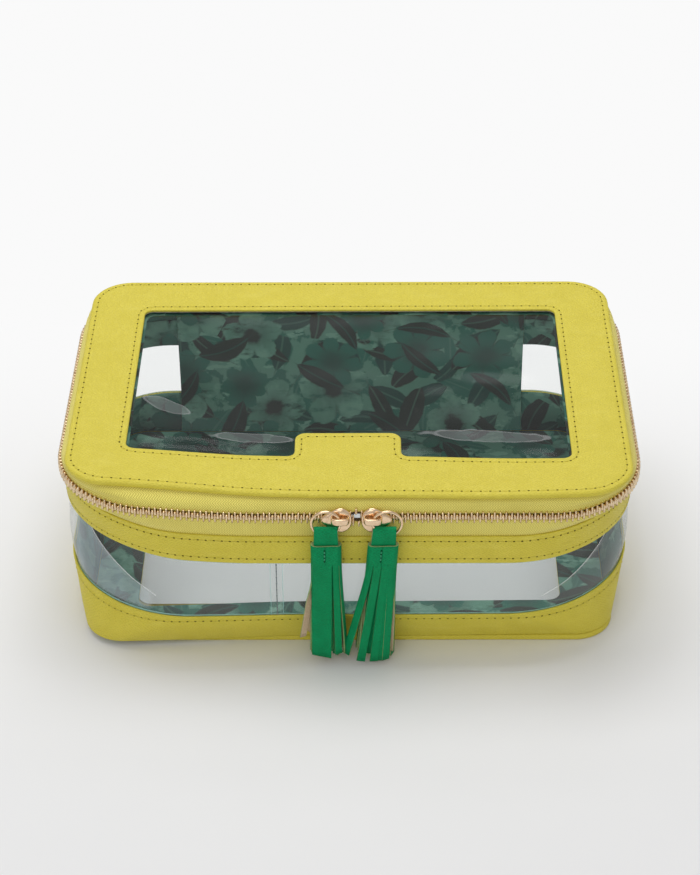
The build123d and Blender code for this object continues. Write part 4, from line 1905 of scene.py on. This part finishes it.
def studio():
    lamp("key_softbox", (-0.1, 0.33, 1.25), (0, 0, 0.04), 1.0, 8.2, 0.7)
    lamp("front_fill", (-0.32, -1.3, 0.9), (0, 0, 0.04), 1.0, 3.8)
    lamp("back_strip", (0.0, 1.25, 1.36), (0, 0, 0.08), 1.0, 1.0, 0.2)
    air = Look("studio_air", bpy.data.worlds.new("studio_air"), "ShaderNodeOutputWorld")
    seen = is_ray(air, "Camera", "Transmission")
    soft = air.add("ShaderNodeBackground", {}, {"Color": (1.0, 1.0, 1.0, 1.0), "Strength": 0.5})
    white = air.add("ShaderNodeBackground", {}, {"Color": backdrop_white, "Strength": 1.0})
    air.end_mixed(seen, soft, white)
    bpy.context.scene.world = air.material


def camera():
    """Camera a little above the case's front, looking down on it."""
    place = Vector((0.0113, -0.91213, 0.69456))
    down, turn, roll = math.radians(35.0), math.radians(-0.69), math.radians(-0.52)
    ahead = Vector((math.sin(turn) * math.cos(down), math.cos(turn) * math.cos(down), -math.sin(down)))
    level_right = Vector((math.cos(turn), -math.sin(turn), 0))
    level_up = level_right.cross(ahead)
    right = level_right * math.cos(roll) + level_up * math.sin(roll)
    up = level_up * math.cos(roll) - level_right * math.sin(roll)
    data = bpy.data.cameras.new("camera")
    data.sensor_width = 45.0
    data.sensor_fit = "AUTO"
    focal_share = 2327.57 / 875.0  # focal length over the sensor's longer side
    data.lens = focal_share * data.sensor_width
    eye = bpy.data.objects.new("camera", data)
    turn_to = Matrix((right, up, -ahead)).transposed()
    eye.matrix_world = Matrix.Translation(place) @ turn_to.to_4x4()
    data.clip_start, data.clip_end = 0.05, 20.0
    bpy.context.scene.collection.objects.link(eye)
    bpy.context.scene.camera = eye


camera()
stage_floor()
studio()
leather_bands()
clear_wall()
fold_highlight_strips()
sheet_join()
linings()
underside()
floor_sheet()
floor_lining()
back_wall()
hinge()
tapes()
teeth()
lid_leather()
lid_sheet()
lid_lining()
tab_back()
lid_stiffening()
lid_binding()
for side, way in (("left", -1), ("right", 1)):
    slider(side, way)
    pull_ring(side, way)
    strap(side)
tassel(
    "left",
    [
        (-2.0, 9.2, 8.8, -0.7, 5.6, 1.2, -0.9),
        (4.3, 3.0, 3.2, 0.7, 6.4, 0.5, 0.3),
        (7.4, 2.9, 2.9, 2.6, 6.8, 1.2, -0.2),
        (-8.0, 2.7, 2.7, -0.8, 5.4, 0.6, 0.2),
    ],
    [(0.75, (1.4, 5.2), 15.4, -1.25), (0.69, (0.2, 3.4), 14.0, -1.8)],
    3,
)
tassel(
    "right",
    [
        (-5.3, 3.5, 3.6, -7.6, 4.4, 2.2, -0.5),
        (-1.8, 3.4, 3.9, -4.0, 3.4, 1.9, -0.4),
        (1.5, 3.1, 3.7, -1.4, 3.0, 1.5, 0.1),
        (3.1, 2.2, 2.6, -0.3, 2.9, 0.9, 0.1),
        (4.6, 3.0, 3.4, 0.6, 3.6, 1.4, 0.2),
        (7.8, 3.3, 4.4, 2.6, 2.6, 1.4, -0.3),
        (-8.3, 2.6, 2.6, -3.8, 5.2, 1.0, 0.3),
    ],
    [(0.25, (-0.6, 1.6), 6.5, 1.2), (0.31, (-0.2, 1.2), 8.0, 1.5)],
    11,
)
finish_solids()

bpy.context.scene.view_settings.view_transform = "Standard"
